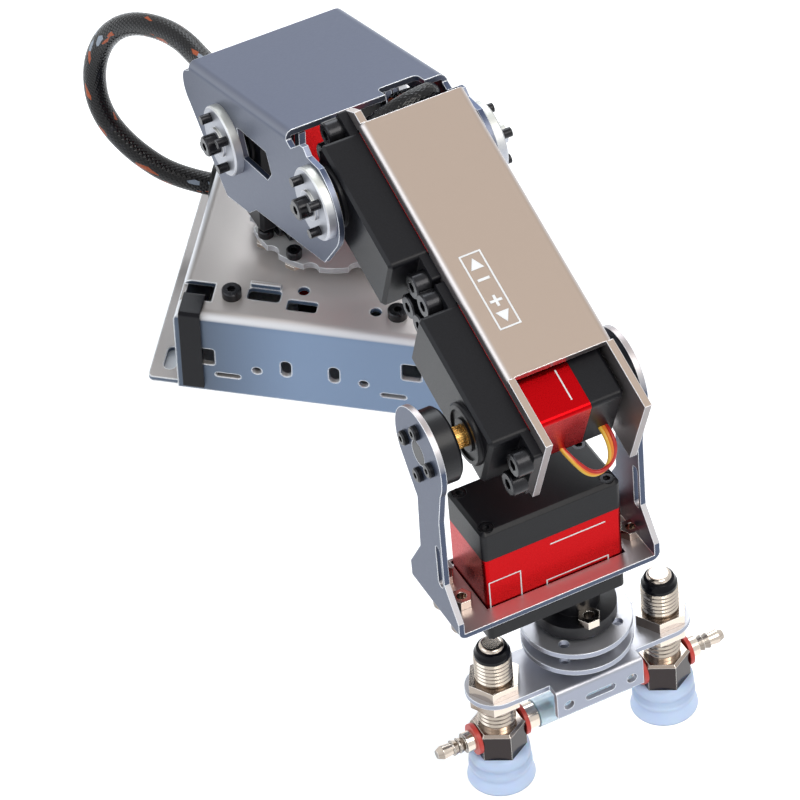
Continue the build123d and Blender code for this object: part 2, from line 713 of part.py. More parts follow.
# Forearm: channel with a roof over two servos set end to end
forearm_width = seat_left + cheek_right
with BuildPart() as forearm_channel:
    with BuildSketch(spot(forearm, z=seat_left)):
        with BuildLine():
            Polyline((-forearm_back, forearm_roof - forearm_bend), (forearm_roof_end, forearm_roof - forearm_bend),
                     (forearm_roof_end, forearm_roof), (forearm_end, forearm_roof),
                     (forearm_end, -forearm_skirt), (-forearm_back, -forearm_skirt),
                     (-forearm_back, forearm_roof - forearm_bend))
        make_face()
    extrude(amount=-forearm_width)
    with BuildSketch(spot(forearm, z=seat_left)):
        with BuildLine():
            Polyline((-forearm_back, forearm_roof), (-shaft_inset - 3.2, forearm_roof),
                     (-shaft_inset - ear_reach, 9.2), (-shaft_inset - ear_reach, -9.2),
                     (-shaft_inset - 3.2, -forearm_skirt), (-forearm_back, -forearm_skirt),
                     (-forearm_back, forearm_roof))
        make_face()
    extrude(amount=-channel_sheet)
    with BuildSketch(spot(forearm, z=seat_left - channel_sheet)):
        Rectangle(4 * forearm_end, 4 * forearm_end)
    extrude(amount=-(forearm_width - 2 * channel_sheet), mode=Mode.SUBTRACT)
    with BuildSketch(channel_end(forearm, -forearm_back, seat_left, cheek_right)) as forearm_section:
        with Locations((0, forearm_roof - forearm_bend)):
            Rectangle(forearm_width, 2 * forearm_bend)
        fillet(forearm_section.vertices().group_by(Axis.Y)[-1], forearm_bend)
        with Locations((0, forearm_roof - forearm_bend - channel_sheet)):
            Rectangle(forearm_width - 2 * channel_sheet, 2 * forearm_bend, mode=Mode.SUBTRACT)
    extrude(amount=forearm_back + forearm_roof_end)
    # Windows for the two servos and their screw holes in the left plate
    with BuildSketch(spot(forearm, z=seat_left)):
        for middle in (shaft_to_far_end - servo_length / 2,
                       forearm_length - shaft_to_far_end + servo_length / 2):
            with Locations((middle, 0)):
                Rectangle(servo_length + 2 * servo_clearance, servo_width + 2 * servo_clearance)
        for place in (ear_near, ear_far, forearm_length - ear_far, forearm_length - ear_near):
            with Locations((place, 0)):
                with GridLocations(1, ear_hole_spacing, 1, 2):
                    Circle(ear_hole_radius)
    extrude(amount=-channel_sheet, mode=Mode.SUBTRACT)
    with BuildSketch(spot(forearm, z=-cheek_right)):
        with Locations((0, 0), (forearm_length, 0)):
            Circle(pivot_radius + running_fit)
    extrude(amount=channel_sheet, mode=Mode.SUBTRACT)
keep(forearm_channel.part, "forearm_channel")

servo_cases(elbow_servo, "elbow")
servo_cases(wrist_servo, "wrist")
forearm_screws = ear_screws(elbow_servo, [ear_far, ear_near], channel_sheet)
forearm_screws += ear_screws(wrist_servo, [ear_far, ear_near], channel_sheet)
forearm_screws += case_screws(elbow_servo) + case_screws(wrist_servo)
keep(Compound(children=forearm_screws), "forearm_screws")

# Wrist bracket: floor with a servo window and two waisted ears
servo_spline(wrist_servo, "wrist", height=wrist_spline_height)
ear_span = ear_left + ear_right
with BuildPart() as wrist_bracket:
    floor = -bracket_drop - bracket_sheet
    floor_bend = floor + bracket_bend
    with BuildSketch(spot(wrist, z=ear_left)):
        with BuildLine():
            Polyline((bracket_front, floor_bend), (bracket_front, floor_bend + 3.0),
                     (ear_waist_front, floor + 14.0), (ear_waist_front, -ear_waist_drop),
                     (ear_waist_front + 2.2, -6.4))
            ThreePointArc((ear_waist_front + 2.2, -6.4), (0, ear_top_radius), (-ear_top_radius + 1.6, -6.4))
            Polyline((-ear_top_radius + 1.6, -6.4), (-ear_waist_back, -ear_waist_drop),
                     (-ear_waist_back - 1.0, floor + 18.0), (-bracket_back, floor + 7.0),
                     (-bracket_back, floor_bend), (bracket_front, floor_bend))
        make_face()
    extrude(amount=-ear_span)
    with BuildSketch(spot(wrist, z=ear_left - bracket_sheet)):
        Rectangle(4 * bracket_drop, 4 * bracket_drop)
    extrude(amount=-(ear_span - 2 * bracket_sheet), mode=Mode.SUBTRACT)
    with BuildSketch(channel_end(wrist, -bracket_back, ear_left, ear_right)) as bracket_section:
        with Locations((0, floor_bend)):
            Rectangle(ear_span, 2 * bracket_bend)
        fillet(bracket_section.vertices().group_by(Axis.Y)[0], bracket_bend)
        with Locations((0, floor_bend + bracket_sheet)):
            Rectangle(ear_span - 2 * bracket_sheet, 2 * bracket_bend, mode=Mode.SUBTRACT)
    extrude(amount=bracket_back + bracket_front)
    with BuildSketch(spot(tool, z=-bracket_drop)):
        with Locations((-(servo_length / 2 - shaft_inset), 0)):
            Rectangle(servo_length + 2 * servo_clearance, servo_width + 2 * servo_clearance)
        for x in (-ear_far, -ear_near):
            with Locations((x, 0)):
                with GridLocations(1, ear_hole_spacing, 1, 2):
                    Circle(ear_hole_radius)
    extrude(amount=-bracket_sheet, mode=Mode.SUBTRACT)
    with BuildSketch(spot(wrist, z=ear_left)):
        with Locations((6.6, -34.0)):
            SlotOverall(14.0, 2.6, rotation=90)
        with PolarLocations(stud_circle, 4, start_angle=0):
            Circle(1.2)
    extrude(amount=-ear_span, mode=Mode.SUBTRACT)
    with BuildSketch(spot(wrist, z=ear_left)):
        Circle(3.4)
    extrude(amount=-bracket_sheet, mode=Mode.SUBTRACT)
    with BuildSketch(spot(wrist, z=-ear_right)):
        Circle(pivot_radius + 0.02)
    extrude(amount=bracket_sheet, mode=Mode.SUBTRACT)
keep(wrist_bracket.part, "wrist_bracket")

wrist_horn_inner = ear_left - bracket_sheet - wrist_horn_thickness
wrist_spline_end = seat_left + gear_height + boss_height + wrist_spline_height
with BuildPart() as wrist_horn:
    with BuildSketch(spot(wrist, z=wrist_horn_inner)):
        Circle(wrist_horn_radius)
    extrude(amount=wrist_horn_thickness)
    chamfer(wrist_horn.edges().group_by(normal_axis(wrist))[0], 0.8)
    with BuildSketch(spot(wrist, z=ear_left - bracket_sheet)):
        Circle(3.3)
    extrude(amount=bracket_sheet)
    with BuildSketch(spot(wrist, z=wrist_horn_inner)):
        Circle(spline_radius + running_fit)
    extrude(amount=wrist_spline_end - wrist_horn_inner, mode=Mode.SUBTRACT)
    with BuildSketch(spot(wrist, z=ear_left - bracket_sheet)):
        with PolarLocations(stud_circle, 4, start_angle=0):
            Circle(1.15)
    extrude(amount=-3.0, mode=Mode.SUBTRACT)
keep(wrist_horn.part, "wrist_horn")

with BuildPart() as wrist_pivot:
    outside = Plane(origin=wrist_point + right * ear_right, x_dir=wrist.x_dir, z_dir=right)
    with BuildSketch(outside):
        Circle(4.6)
    extrude(amount=3.0)
    with BuildSketch(spot(outside, z=3.0)):
        RegularPolygon(2.0, 6)
    extrude(amount=-1.6, mode=Mode.SUBTRACT)
    with BuildSketch(outside):
        Circle(pivot_radius)
    extrude(amount=-(ear_right - cheek_right + channel_sheet))
    with BuildSketch(spot(outside, z=-bracket_sheet)):
        Circle(spacer_radius)
    extrude(amount=-(ear_right - cheek_right - bracket_sheet - 0.3))
keep(wrist_pivot.part, "wrist_pivot")

servo_cases(tool_servo, "tool")
wrist_screws = case_screws(tool_servo)
for k in range(4):
    angle = radians(90 * k)
    wrist_screws.append(socket_screw(spot(wrist, x=stud_circle * cos(angle), y=stud_circle * sin(angle),
                                          z=ear_left), 2.0, 1.4, 1.1, bracket_sheet + 2.8))
keep(Compound(children=wrist_screws), "wrist_screws")
bracket_bolts = ear_screws(tool_servo, [ear_far, ear_near], bracket_sheet)
keep(Compound(children=bracket_bolts), "bracket_bolts")

# Suction tool
servo_spline(tool_servo, "tool")
with BuildPart() as tool_horn:
    with BuildSketch(spot(tool, z=-boss_depth - horn_gap)):
        Circle(tool_horn_hub)
    extrude(amount=-tool_hub_height)
    with BuildSketch(spot(tool, z=-tool_horn_flange_top)):
        Circle(tool_horn_radius)
    extrude(amount=-(tool_horn_bottom - tool_horn_flange_top))
    chamfer(tool_horn.edges().group_by(Axis(tool.origin, tool.z_dir))[0], 0.5)
    with BuildSketch(spot(tool, z=-boss_depth - horn_gap)):
        Circle(spline_radius + running_fit)
    extrude(amount=-spline_height, mode=Mode.SUBTRACT)
keep(tool_horn.part, "tool_horn")


def round_plate(depth):
    """Round plate with a centre hole and four screw holes."""
    with BuildPart() as plate:
        with BuildSketch(spot(tool, z=-depth)):
            Circle(plate_radius)
            Circle(3.0, mode=Mode.SUBTRACT)
            with PolarLocations(8.0, 4, start_angle=-90):
                Circle(1.6, mode=Mode.SUBTRACT)
            with PolarLocations(11.4, 4, start_angle=-45):
                Circle(1.4, mode=Mode.SUBTRACT)
        extrude(amount=-plate_sheet)
    return plate.part


keep(Compound(children=[round_plate(upper_plate_depth), round_plate(lower_plate_depth)]), "round_plates")

tool_posts = []
for depth, length in ((tool_horn_bottom, upper_spacer), (upper_plate_depth + plate_sheet, middle_spacer),
                      (lower_plate_depth + plate_sheet, lower_spacer)):
    with BuildPart() as post:
        with BuildSketch(spot(tool, z=-depth)):
            Circle(spacer_ring)
            Circle(spacer_bore, mode=Mode.SUBTRACT)
        extrude(amount=-length)
    tool_posts.append(post.part)
keep(Compound(children=tool_posts), "tool_spacers")

# Cross bracket: arms to the stems and a folded front flange
with BuildPart() as cross_bracket:
    with BuildSketch(spot(tool, z=-cross_depth)):
        SlotCenterToCenter(stem_spacing, 2 * cross_half_width)
        with Locations((0, -cross_flange_front / 2)):
            Rectangle(cross_fold_width, cross_flange_front)
        with GridLocations(stem_spacing, 1, 2, 1):
            Circle(stem_radius + 0.1, mode=Mode.SUBTRACT)
        Circle(1.6, mode=Mode.SUBTRACT)
    extrude(amount=-plate_sheet)
    with BuildSketch(spot(tool, z=-cross_depth)):
        with Locations((0, -cross_flange_front + plate_sheet / 2)):
            Rectangle(cross_fold_width, plate_sheet)
    extrude(amount=-cross_flange_drop)
    fold = (cross_bracket.edges().filter_by(lambda e: abs(e.length - cross_fold_width) < 0.1)
            .filter_by(lambda e: abs((e.center() - tool.origin).dot(tool.z_dir) + cross_depth) < 0.1))
    fillet(fold, 1.4)
    front = Plane(origin=tool.origin - tool.y_dir * cross_flange_front
                  - tool.z_dir * (cross_depth + cross_flange_drop - 3.4), x_dir=tool.x_dir, z_dir=tool.y_dir * -1)
    with BuildSketch(front):
        with GridLocations(19.0, 1, 2, 1):
            Circle(1.5)
        SlotOverall(9.0, 2.4)
    extrude(amount=-plate_sheet, mode=Mode.SUBTRACT)
keep(cross_bracket.part, "cross_bracket")

stems, stem_nuts, manifolds, barbs, washers, cups = [], [], [], [], [], []
for side in (-1, 1):
    stem_axis = spot(tool, x=side * stem_spacing / 2)
    with BuildPart() as stem:
        with BuildSketch(spot(stem_axis, z=-stem_top)):
            Circle(stem_cap_radius)
        extrude(amount=-stem_cap_height)
        fillet(stem.edges().group_by(normal_axis(tool))[-1], 1.0)
        with BuildSketch(spot(stem_axis, z=-stem_top - stem_cap_height)):
            Circle(stem_radius)
        extrude(amount=-(stem_bottom - stem_top - stem_cap_height))
    stems.append(stem.part)
    stem_nuts.append(hex_nut(spot(stem_axis, z=-cross_depth), nut_across, nut_thickness, stem_radius))
    stem_nuts.append(hex_nut(spot(stem_axis, z=-cross_depth - plate_sheet - nut_thickness), nut_across,
                             nut_thickness, stem_radius))
    with BuildPart() as manifold:
        with BuildSketch(spot(stem_axis, z=-manifold_top)):
            RegularPolygon(manifold_across / 2, 6, major_radius=False, rotation=30)
        extrude(amount=-(manifold_bottom - manifold_top))
        chamfer(manifold.edges().group_by(normal_axis(tool))[-1], 0.7)
    manifolds.append(manifold.part)
    flat = manifold_across / 2
    for way in (-1, 1):
        port = Plane(origin=stem_axis.origin - tool.z_dir * barb_depth + tool.x_dir * way * flat,
                     x_dir=tool.y_dir, z_dir=tool.x_dir * way)
        with BuildPart() as washer:
            with BuildSketch(port):
                Circle(washer_radius)
            extrude(amount=washer_thickness)
        washers.append(washer.part)
        outward = way == side
        with BuildPart() as barb:
            with BuildSketch(Plane(origin=port.origin, x_dir=port.z_dir, z_dir=port.x_dir)):
                with BuildLine():
                    start = washer_thickness
                    if outward:
                        reach = barb_reach - flat
                        Polyline((start, 0), (start, 2.9), (start + 2.6, 2.9), (start + 2.6, 1.7),
                                 (start + 4.4, 2.3), (start + 4.4, 1.7), (start + 6.2, 2.3),
                                 (start + 6.2, 1.7), (reach - 1.6, 2.0), (reach, 1.3), (reach, 0), (start, 0))
                    else:
                        Polyline((start, 0), (start, 3.6), (start + 3.2, 3.6), (start + 3.2, 2.3),
                                 (start + inner_fitting, 2.3), (start + inner_fitting, 0), (start, 0))
                make_face()
            revolve(axis=Axis(port.origin, port.z_dir))
        barbs.append(barb.part)
    with BuildPart() as cup:
        with BuildSketch(Plane(origin=stem_axis.origin, x_dir=tool.x_dir, z_dir=tool.y_dir * -1)):
            with BuildLine():
                Polyline((0, -manifold_bottom), (cup_top_radius, -manifold_bottom),
                         (cup_top_radius + 0.6, -manifold_bottom - 2.4), (cup_waist_radius, -cup_waist_depth + 1.0),
                         (cup_waist_radius - 0.7, -cup_waist_depth), (cup_lip_radius, -cup_bottom + 0.8),
                         (cup_lip_radius, -cup_bottom), (cup_lip_radius - cup_wall, -cup_bottom),
                         (cup_waist_radius - 2.2, -cup_waist_depth), (cup_waist_radius - 2.2, -manifold_bottom - 3.0),
                         (0, -manifold_bottom - 2.0), (0, -manifold_bottom))
            make_face()
        revolve(axis=Axis(stem_axis.origin, tool.z_dir))
    cups.append(cup.part)
keep(Compound(children=stems), "stems")
keep(Compound(children=stem_nuts), "stem_nuts")
keep(Compound(children=manifolds), "manifolds")
keep(Compound(children=barbs), "hose_barbs")
keep(Compound(children=washers), "seal_washers")
keep(Compound(children=cups), "suction_cups")

barb_end = manifold_across / 2 + washer_thickness + inner_fitting
tube_start = Plane(origin=tool.origin - tool.z_dir * barb_depth + tool.x_dir * (-stem_spacing / 2 + barb_end - tube_grip),
                   x_dir=tool.y_dir, z_dir=tool.x_dir)
with BuildPart() as vacuum_tube:
    with BuildSketch(tube_start):
        Circle(tube_radius)
        Circle(tube_bore, mode=Mode.SUBTRACT)
    extrude(amount=stem_spacing - 2 * (barb_end - tube_grip))
keep(vacuum_tube.part, "vacuum_tube")

# Cable: out under the arm's roof, round in a loop and into the base's left wall
lead_level = arm_roof - arm_sheet - cable_under_roof
lead_start = spot(arm, x=-14.0, y=lead_level, z=cable_side).origin
lead_exit = spot(arm, x=-25.0, y=lead_level, z=cable_side).origin
cable_route = [
    lead_start,
    lead_exit,
    (-47.5, 21.5, 75.0),
    (-61.5, 29.0, 70.8),
    (-71.2, 32.2, 61.2),
    (-75.4, 30.6, 48.7),
    (-73.2, 26.2, 36.6),
    (-63.6, 21.8, 27.3),
    (-49.0, cable_entry_y, cable_entry_z + 0.5),
    (-base_width / 2 + 3.4, cable_entry_y, cable_entry_z),
]
route = [Vector(point) for point in cable_route]
bend_radii = []
for before, corner, after in zip(route, route[1:], route[2:]):
    shorter = min((corner - before).length, (after - corner).length)
    turn = (corner - before).get_angle(after - corner)
    bend_radii.append(0.45 * shorter / tan(radians(turn / 2)))
print("cable radii", [round(radius, 1) for radius in bend_radii])
with BuildPart() as cable:
    with BuildLine() as cable_line:
        FilletPolyline(*route, radius=bend_radii)
    with BuildSketch(Plane(origin=route[0], z_dir=route[1] - route[0])):
        Circle(cable_radius)
    sweep()
cable_length = sum(edge.length for edge in cable_line.edges())
print("cable", round(cable_length, 1), "volume ratio",
      round(cable.part.volume / (3.14159265 * cable_radius**2 * cable_length), 4))
with BuildPart() as cable_lead:
    add(cable.part)
    with BuildSketch(spot(arm, z=arm_left)):
        Circle(lead_cut_radius)
    extrude(amount=-arm_left, mode=Mode.INTERSECT)
keep(cable_lead.part, "cable_lead")
with BuildPart() as cable_loop:
    add(cable.part)
    with BuildSketch(spot(arm, z=2 * arm_left)):
        Circle(lead_cut_radius + cable_gap)
    extrude(amount=-2 * arm_left, mode=Mode.SUBTRACT)
    split(bisect_by=Plane.XY.offset(loop_cut_height + cable_gap), keep=Keep.TOP)
keep(cable_loop.part, "cable_loop")
with BuildPart() as cable_tail:
    add(cable.part)
    split(bisect_by=Plane.XY.offset(loop_cut_height), keep=Keep.BOTTOM)
keep(cable_tail.part, "cable_tail")

with BuildPart() as cable_clamp:
    with BuildSketch(spot(channel_end(arm, -arm_back, cable_side, -cable_side), x=0)) as clamp_section:
        with Locations((0, arm_roof - arm_sheet - clamp_width / 2)):
            Rectangle(clamp_width, clamp_width)
        fillet(clamp_section.vertices().group_by(Axis.Y)[0], clamp_width / 3)
        with Locations((0, lead_level)):
            Circle(cable_radius + running_fit, mode=Mode.SUBTRACT)
    extrude(amount=clamp_length)
keep(cable_clamp.part, "cable_clamp")

wall_outside = Plane(origin=(-base_width / 2, cable_entry_y, cable_entry_z), x_dir=(0, 1, 0), z_dir=(-1, 0, 0))
with BuildPart() as cable_gland:
    with BuildSketch(wall_outside):
        Circle(gland_flange)
    extrude(amount=1.6)
    fillet(cable_gland.edges().group_by(Axis.X)[0], 0.6)
    with BuildSketch(wall_outside):
        Circle(gland_radius)
    extrude(amount=-base_sheet)
    with BuildSketch(spot(wall_outside, z=-base_sheet)):
        Circle(gland_flange)
    extrude(amount=-1.2)
    with BuildSketch(spot(wall_outside, z=4)):
        Circle(cable_radius + cable_gap)
    extrude(amount=-10, mode=Mode.SUBTRACT)
keep(cable_gland.part, "cable_gland")

# Three-core lead that loops from the wrist servo's motor case back into its rear cover
lead_face = forearm_length + shaft_inset
lead_route = [
    spot(forearm, x=lead_face, y=-5.0, z=-0.4).origin,
    spot(forearm, x=lead_face + 4.6, y=-5.0, z=-0.4).origin,
    spot(forearm, x=lead_face + 7.2, y=-9.2, z=-4.2).origin,
    spot(forearm, x=lead_face + 6.9, y=-9.0, z=-8.6).origin,
    spot(forearm, x=lead_face + 4.4, y=-4.6, z=-10.4).origin,
    spot(forearm, x=lead_face, y=-4.6, z=-10.4).origin,
]
lead_radii = []
for before, corner, after in zip(lead_route, lead_route[1:], lead_route[2:]):
    shorter = min((corner - before).length, (after - corner).length)
    turn = (corner - before).get_angle(after - corner)
    lead_radii.append(0.45 * shorter / tan(radians(turn / 2)))
print("lead radii", [round(radius, 1) for radius in lead_radii])
with BuildPart() as servo_lead:
    with BuildLine() as lead_line:
        FilletPolyline(*lead_route, radius=lead_radii)
    with BuildSketch(Plane(origin=lead_route[0], z_dir=lead_route[1] - lead_route[0])):
        Circle(lead_radius)
    sweep()
lead_length = sum(edge.length for edge in lead_line.edges())
print("lead", round(lead_length, 1), "volume ratio",
      round(servo_lead.part.volume / (3.14159265 * lead_radius**2 * lead_length), 4))
keep(servo_lead.part, "servo_lead")
print("nodes", len(made))
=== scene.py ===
import json
from math import atan2, cos, pi, radians, sin

import bmesh
import bpy
from mathutils import Matrix, Vector


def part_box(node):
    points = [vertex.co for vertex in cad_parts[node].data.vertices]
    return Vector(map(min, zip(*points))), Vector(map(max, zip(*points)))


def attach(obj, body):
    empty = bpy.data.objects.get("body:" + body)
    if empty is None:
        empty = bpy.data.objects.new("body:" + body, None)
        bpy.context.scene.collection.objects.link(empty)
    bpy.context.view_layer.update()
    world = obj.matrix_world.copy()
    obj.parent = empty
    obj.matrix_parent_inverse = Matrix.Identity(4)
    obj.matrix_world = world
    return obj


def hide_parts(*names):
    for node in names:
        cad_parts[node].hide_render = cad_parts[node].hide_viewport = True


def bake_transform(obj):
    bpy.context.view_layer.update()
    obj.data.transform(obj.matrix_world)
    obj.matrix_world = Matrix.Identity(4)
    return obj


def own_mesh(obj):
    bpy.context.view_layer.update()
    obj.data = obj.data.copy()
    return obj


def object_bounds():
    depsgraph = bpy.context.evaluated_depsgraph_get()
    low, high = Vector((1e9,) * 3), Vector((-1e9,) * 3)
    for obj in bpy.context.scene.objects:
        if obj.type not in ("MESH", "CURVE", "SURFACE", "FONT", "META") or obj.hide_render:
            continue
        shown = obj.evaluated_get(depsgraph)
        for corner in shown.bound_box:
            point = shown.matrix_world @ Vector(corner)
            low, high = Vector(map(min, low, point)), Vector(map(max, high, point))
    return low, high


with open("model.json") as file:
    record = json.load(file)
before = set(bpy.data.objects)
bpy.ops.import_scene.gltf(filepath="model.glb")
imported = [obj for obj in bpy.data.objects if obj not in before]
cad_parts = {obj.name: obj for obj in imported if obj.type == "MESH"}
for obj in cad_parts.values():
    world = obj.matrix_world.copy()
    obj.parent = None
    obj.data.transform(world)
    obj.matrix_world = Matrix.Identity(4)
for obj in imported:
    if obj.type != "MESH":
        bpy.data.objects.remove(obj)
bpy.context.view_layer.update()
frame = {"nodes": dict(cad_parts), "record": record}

MM = 0.001

# Camera: solved from marks read off the photograph, and aimed above the base's middle
VIEW_AZIMUTH = radians(11.17)
VIEW_ELEVATION = radians(48.22)
VIEW_ROLL = radians(-1.24)
VIEW_DISTANCE = 1154.4 * MM
VIEW_CENTRE = Vector((0, 0, 78 * MM))
SHIFT_RIGHT = 18.43 * MM
SHIFT_UP = -81.18 * MM
FOCAL_PIXELS = 4276.8
PHOTO_PIXELS = 800
SENSOR_WIDTH = 36.0
CLIP_END = 10


def make_camera():
    az, el, roll = VIEW_AZIMUTH, VIEW_ELEVATION, VIEW_ROLL
    back = Vector((sin(az) * cos(el), -cos(az) * cos(el), sin(el)))
    level = Vector((cos(az), sin(az), 0))
    upright = back.cross(level)
    right = level * cos(roll) + upright * sin(roll)
    up = upright * cos(roll) - level * sin(roll)
    eye = VIEW_CENTRE + back * VIEW_DISTANCE + right * SHIFT_RIGHT + up * SHIFT_UP
    data = bpy.data.cameras.new("camera")
    data.sensor_width = SENSOR_WIDTH
    data.lens = SENSOR_WIDTH * FOCAL_PIXELS / PHOTO_PIXELS
    data.clip_end = CLIP_END
    camera = bpy.data.objects.new("camera", data)
    turn = Matrix((right, up, back)).transposed().to_4x4()
    camera.matrix_world = Matrix.Translation(eye) @ turn
    bpy.context.scene.collection.objects.link(camera)
    bpy.context.scene.camera = camera


make_camera()

# Link frames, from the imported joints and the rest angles
YAW = radians(37.6)
ARM_RISE = radians(23.6)
FOREARM_DROP = radians(14.3)
TOOL_LEAN = radians(7.1)
LEFT = Vector((-cos(YAW), -sin(YAW), 0))
JOINTS = {joint["name"]: joint for joint in frame["record"]["behaviour"]["joints"]}


def heading(rise):
    return Vector((sin(YAW) * cos(rise), -cos(YAW) * cos(rise), sin(rise)))


class Link:
    """Places given along the link, to its upper side and to the arm's left, in millimetres."""

    def __init__(self, joint, rise):
        self.origin = Vector(JOINTS[joint]["pos_m"])
        self.along = heading(rise)
        self.upper = LEFT.cross(self.along)

    def at(self, along, upper, left):
        return self.origin + (self.along * along + self.upper * upper + LEFT * left) * MM


arm = Link("shoulder_pitch", ARM_RISE)
forearm = Link("elbow_pitch", -FOREARM_DROP)
wrist = Link("wrist_pitch", TOOL_LEAN)


def new_object(name, mesh):
    piece = bpy.data.objects.new(name, mesh)
    bpy.context.scene.collection.objects.link(piece)
    return piece


# Cable
CABLE_DIAMETER = 6.6 * MM
CABLE_EXIT = arm.at(-25.0, 11.1, 22.7)
ENTRY_Y, ENTRY_Z = 19.0, 19.5
BASE_WALL_X = -37.8


def lay_along(tube, line, radius):
    """UV map in millimetres: round the cord, then along it."""
    runs, steady = [0.0], Vector((0, 0, 1))
    for first, second in zip(line, line[1:]):
        runs.append(runs[-1] + (second - first).length)
    places = []
    for vertex in tube.vertices:
        k = min(range(len(line)), key=lambda i: (line[i] - vertex.co).length_squared)
        ahead = (line[min(k + 1, len(line) - 1)] - line[max(k - 1, 0)]).normalized()
        side = ahead.cross(steady).normalized()
        out = vertex.co - line[k]
        places.append((atan2(out.dot(ahead.cross(side)), out.dot(side)), runs[k]))
    uv = tube.uv_layers.new(name="along_cord")
    for face in tube.polygons:
        turns = [places[i][0] for i in face.vertices]
        if max(turns) - min(turns) > pi:
            turns = [turn + 2 * pi if turn < 0 else turn for turn in turns]
        for loop, corner, turn in zip(face.loop_indices, face.vertices, turns):
            uv.data[loop].uv = (turn * radius / MM, places[corner][1] / MM)


def cord_tube(name, points, diameter):
    """Mesh tube along a smooth NURBS line through control points, and the line's own points."""
    curve = bpy.data.curves.new(name, "CURVE")
    curve.dimensions = "3D"
    curve.resolution_u = 16
    curve.use_fill_caps = True
    spline = curve.splines.new("NURBS")
    spline.points.add(len(points) - 1)
    for point, place in zip(spline.points, points):
        point.co = (*place, 1)
    spline.order_u = 3
    spline.use_endpoint_u = True
    guide = new_object(name + "_guide", curve)
    line = bpy.data.meshes.new_from_object(guide)
    path = [tuple(vertex.co) for vertex in line.vertices]
    curve.bevel_depth = diameter / 2
    curve.bevel_resolution = 6
    bpy.context.view_layer.update()
    tube = bpy.data.meshes.new_from_object(guide)
    for face in tube.polygons:
        face.use_smooth = len(face.vertices) == 4
    lay_along(tube, [Vector(place) for place in path], diameter / 2)
    bpy.data.objects.remove(guide)
    return new_object(name, tube), path


def world_mm(x, y, z):
    return Vector((x, y, z)) * MM


MEETING = world_mm(-66.35, 30.6, 66.0)
upper_route = [
    arm.at(-14.0, 11.1, 22.7),
    CABLE_EXIT,
    world_mm(-47.5, 21.5, 75.0),
    world_mm(-61.5, 29.0, 70.8),
    MEETING,
]
lower_route = [
    MEETING,
    world_mm(-71.2, 32.2, 61.2),
    world_mm(-75.4, 30.6, 48.7),
    world_mm(-73.2, 26.2, 36.6),
    world_mm(-63.6, 21.8, 27.3),
    world_mm(-49.0, ENTRY_Y, 20.0),
    world_mm(BASE_WALL_X + 3.4, ENTRY_Y, ENTRY_Z),
]
cable_upper, upper_path = cord_tube("cable_upper", upper_route, CABLE_DIAMETER)
cable_lower, lower_path = cord_tube("cable_lower", lower_route, CABLE_DIAMETER)
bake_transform(cable_upper)
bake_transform(cable_lower)
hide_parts("cable_lead", "cable_loop")
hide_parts("cable_tail")


# Materials
# Colour of the painted highlight where sheet bends from a wall to a roof
BEND_PAINTED_HIGHLIGHT = (0.95, 0.95, 0.97)
# Colour of the painted highlight on the edges of turned metal
EDGE_PAINTED_HIGHLIGHT = (0.85, 0.82, 0.78)
SHEET_GRAIN_STRETCH = (1, 1, 6)
# Tone factors of the painted reflection streaks round turned metal, by which way each face looks
PAINTED_REFLECTION_STREAKS = (0.35, 1.3, 0.5, 1.5, 0.6, 1.25, 0.4)
BRAID_BLACK = (0.003, 0.003, 0.004, 1)
BRAID_FLECKS = (
    (0.905, (0.008, 0.008, 0.012, 1)),
    (0.95, (0.3, 0.34, 0.4, 1)),
    (0.97, BRAID_BLACK),
)
BRAID_WAVES = ((38, 0.32, "SIN"), (-38, 0.32, "SIN"), (62, 0.05, "SAW"))


def node_material(name):
    material = bpy.data.materials.new(name)
    material.use_nodes = True
    tree = material.node_tree
    shader = tree.nodes["Principled BSDF"]
    return material, tree, shader


def noise(tree, scale, detail=4.0, stretch=(1, 1, 1)):
    """Noise on object coordinates, stretched along the axes; scale is in cells per metre."""
    coords = tree.nodes.new("ShaderNodeTexCoord")
    mapping = tree.nodes.new("ShaderNodeMapping")
    mapping.inputs["Scale"].default_value = stretch
    texture = tree.nodes.new("ShaderNodeTexNoise")
    texture.inputs["Scale"].default_value = scale
    texture.inputs["Detail"].default_value = detail
    tree.links.new(coords.outputs["Object"], mapping.inputs["Vector"])
    tree.links.new(mapping.outputs["Vector"], texture.inputs["Vector"])
    return texture.outputs["Fac"]


def span(tree, value, low, high):
    """Maps 0..1 to low..high."""
    node = tree.nodes.new("ShaderNodeMapRange")
    node.inputs["To Min"].default_value = low
    node.inputs["To Max"].default_value = high
    tree.links.new(value, node.inputs["Value"])
    return node.outputs["Result"]


def blend_colours(tree, factor, first, second):
    node = tree.nodes.new("ShaderNodeMix")
    node.data_type = "RGBA"
    node.inputs[6].default_value = (*first, 1)
    node.inputs[7].default_value = (*second, 1)
    tree.links.new(factor, node.inputs[0])
    return node.outputs[2]


def tint(tree, factor, colour, target):
    """Mixes a colour towards a fixed one."""
    node = tree.nodes.new("ShaderNodeMix")
    node.data_type = "RGBA"
    node.inputs[7].default_value = (*target, 1)
    tree.links.new(colour, node.inputs[6])
    tree.links.new(factor, node.inputs[0])
    return node.outputs[2]


def edge_mask(tree, width):
    """1 where the surface is within width of an edge and 0 elsewhere, and the rounded normal there."""
    bevel = tree.nodes.new("ShaderNodeBevel")
    bevel.samples = 6
    bevel.inputs["Radius"].default_value = width
    geometry = tree.nodes.new("ShaderNodeNewGeometry")
    dot = tree.nodes.new("ShaderNodeVectorMath")
    dot.operation = "DOT_PRODUCT"
    tree.links.new(bevel.outputs["Normal"], dot.inputs[0])
    tree.links.new(geometry.outputs["Normal"], dot.inputs[1])
    highlight_mask = tree.nodes.new("ShaderNodeMapRange")
    highlight_mask.inputs["From Min"].default_value = 0.995
    highlight_mask.inputs["From Max"].default_value = 0.93
    tree.links.new(dot.outputs["Value"], highlight_mask.inputs["Value"])
    return highlight_mask.outputs["Result"], bevel.outputs["Normal"]


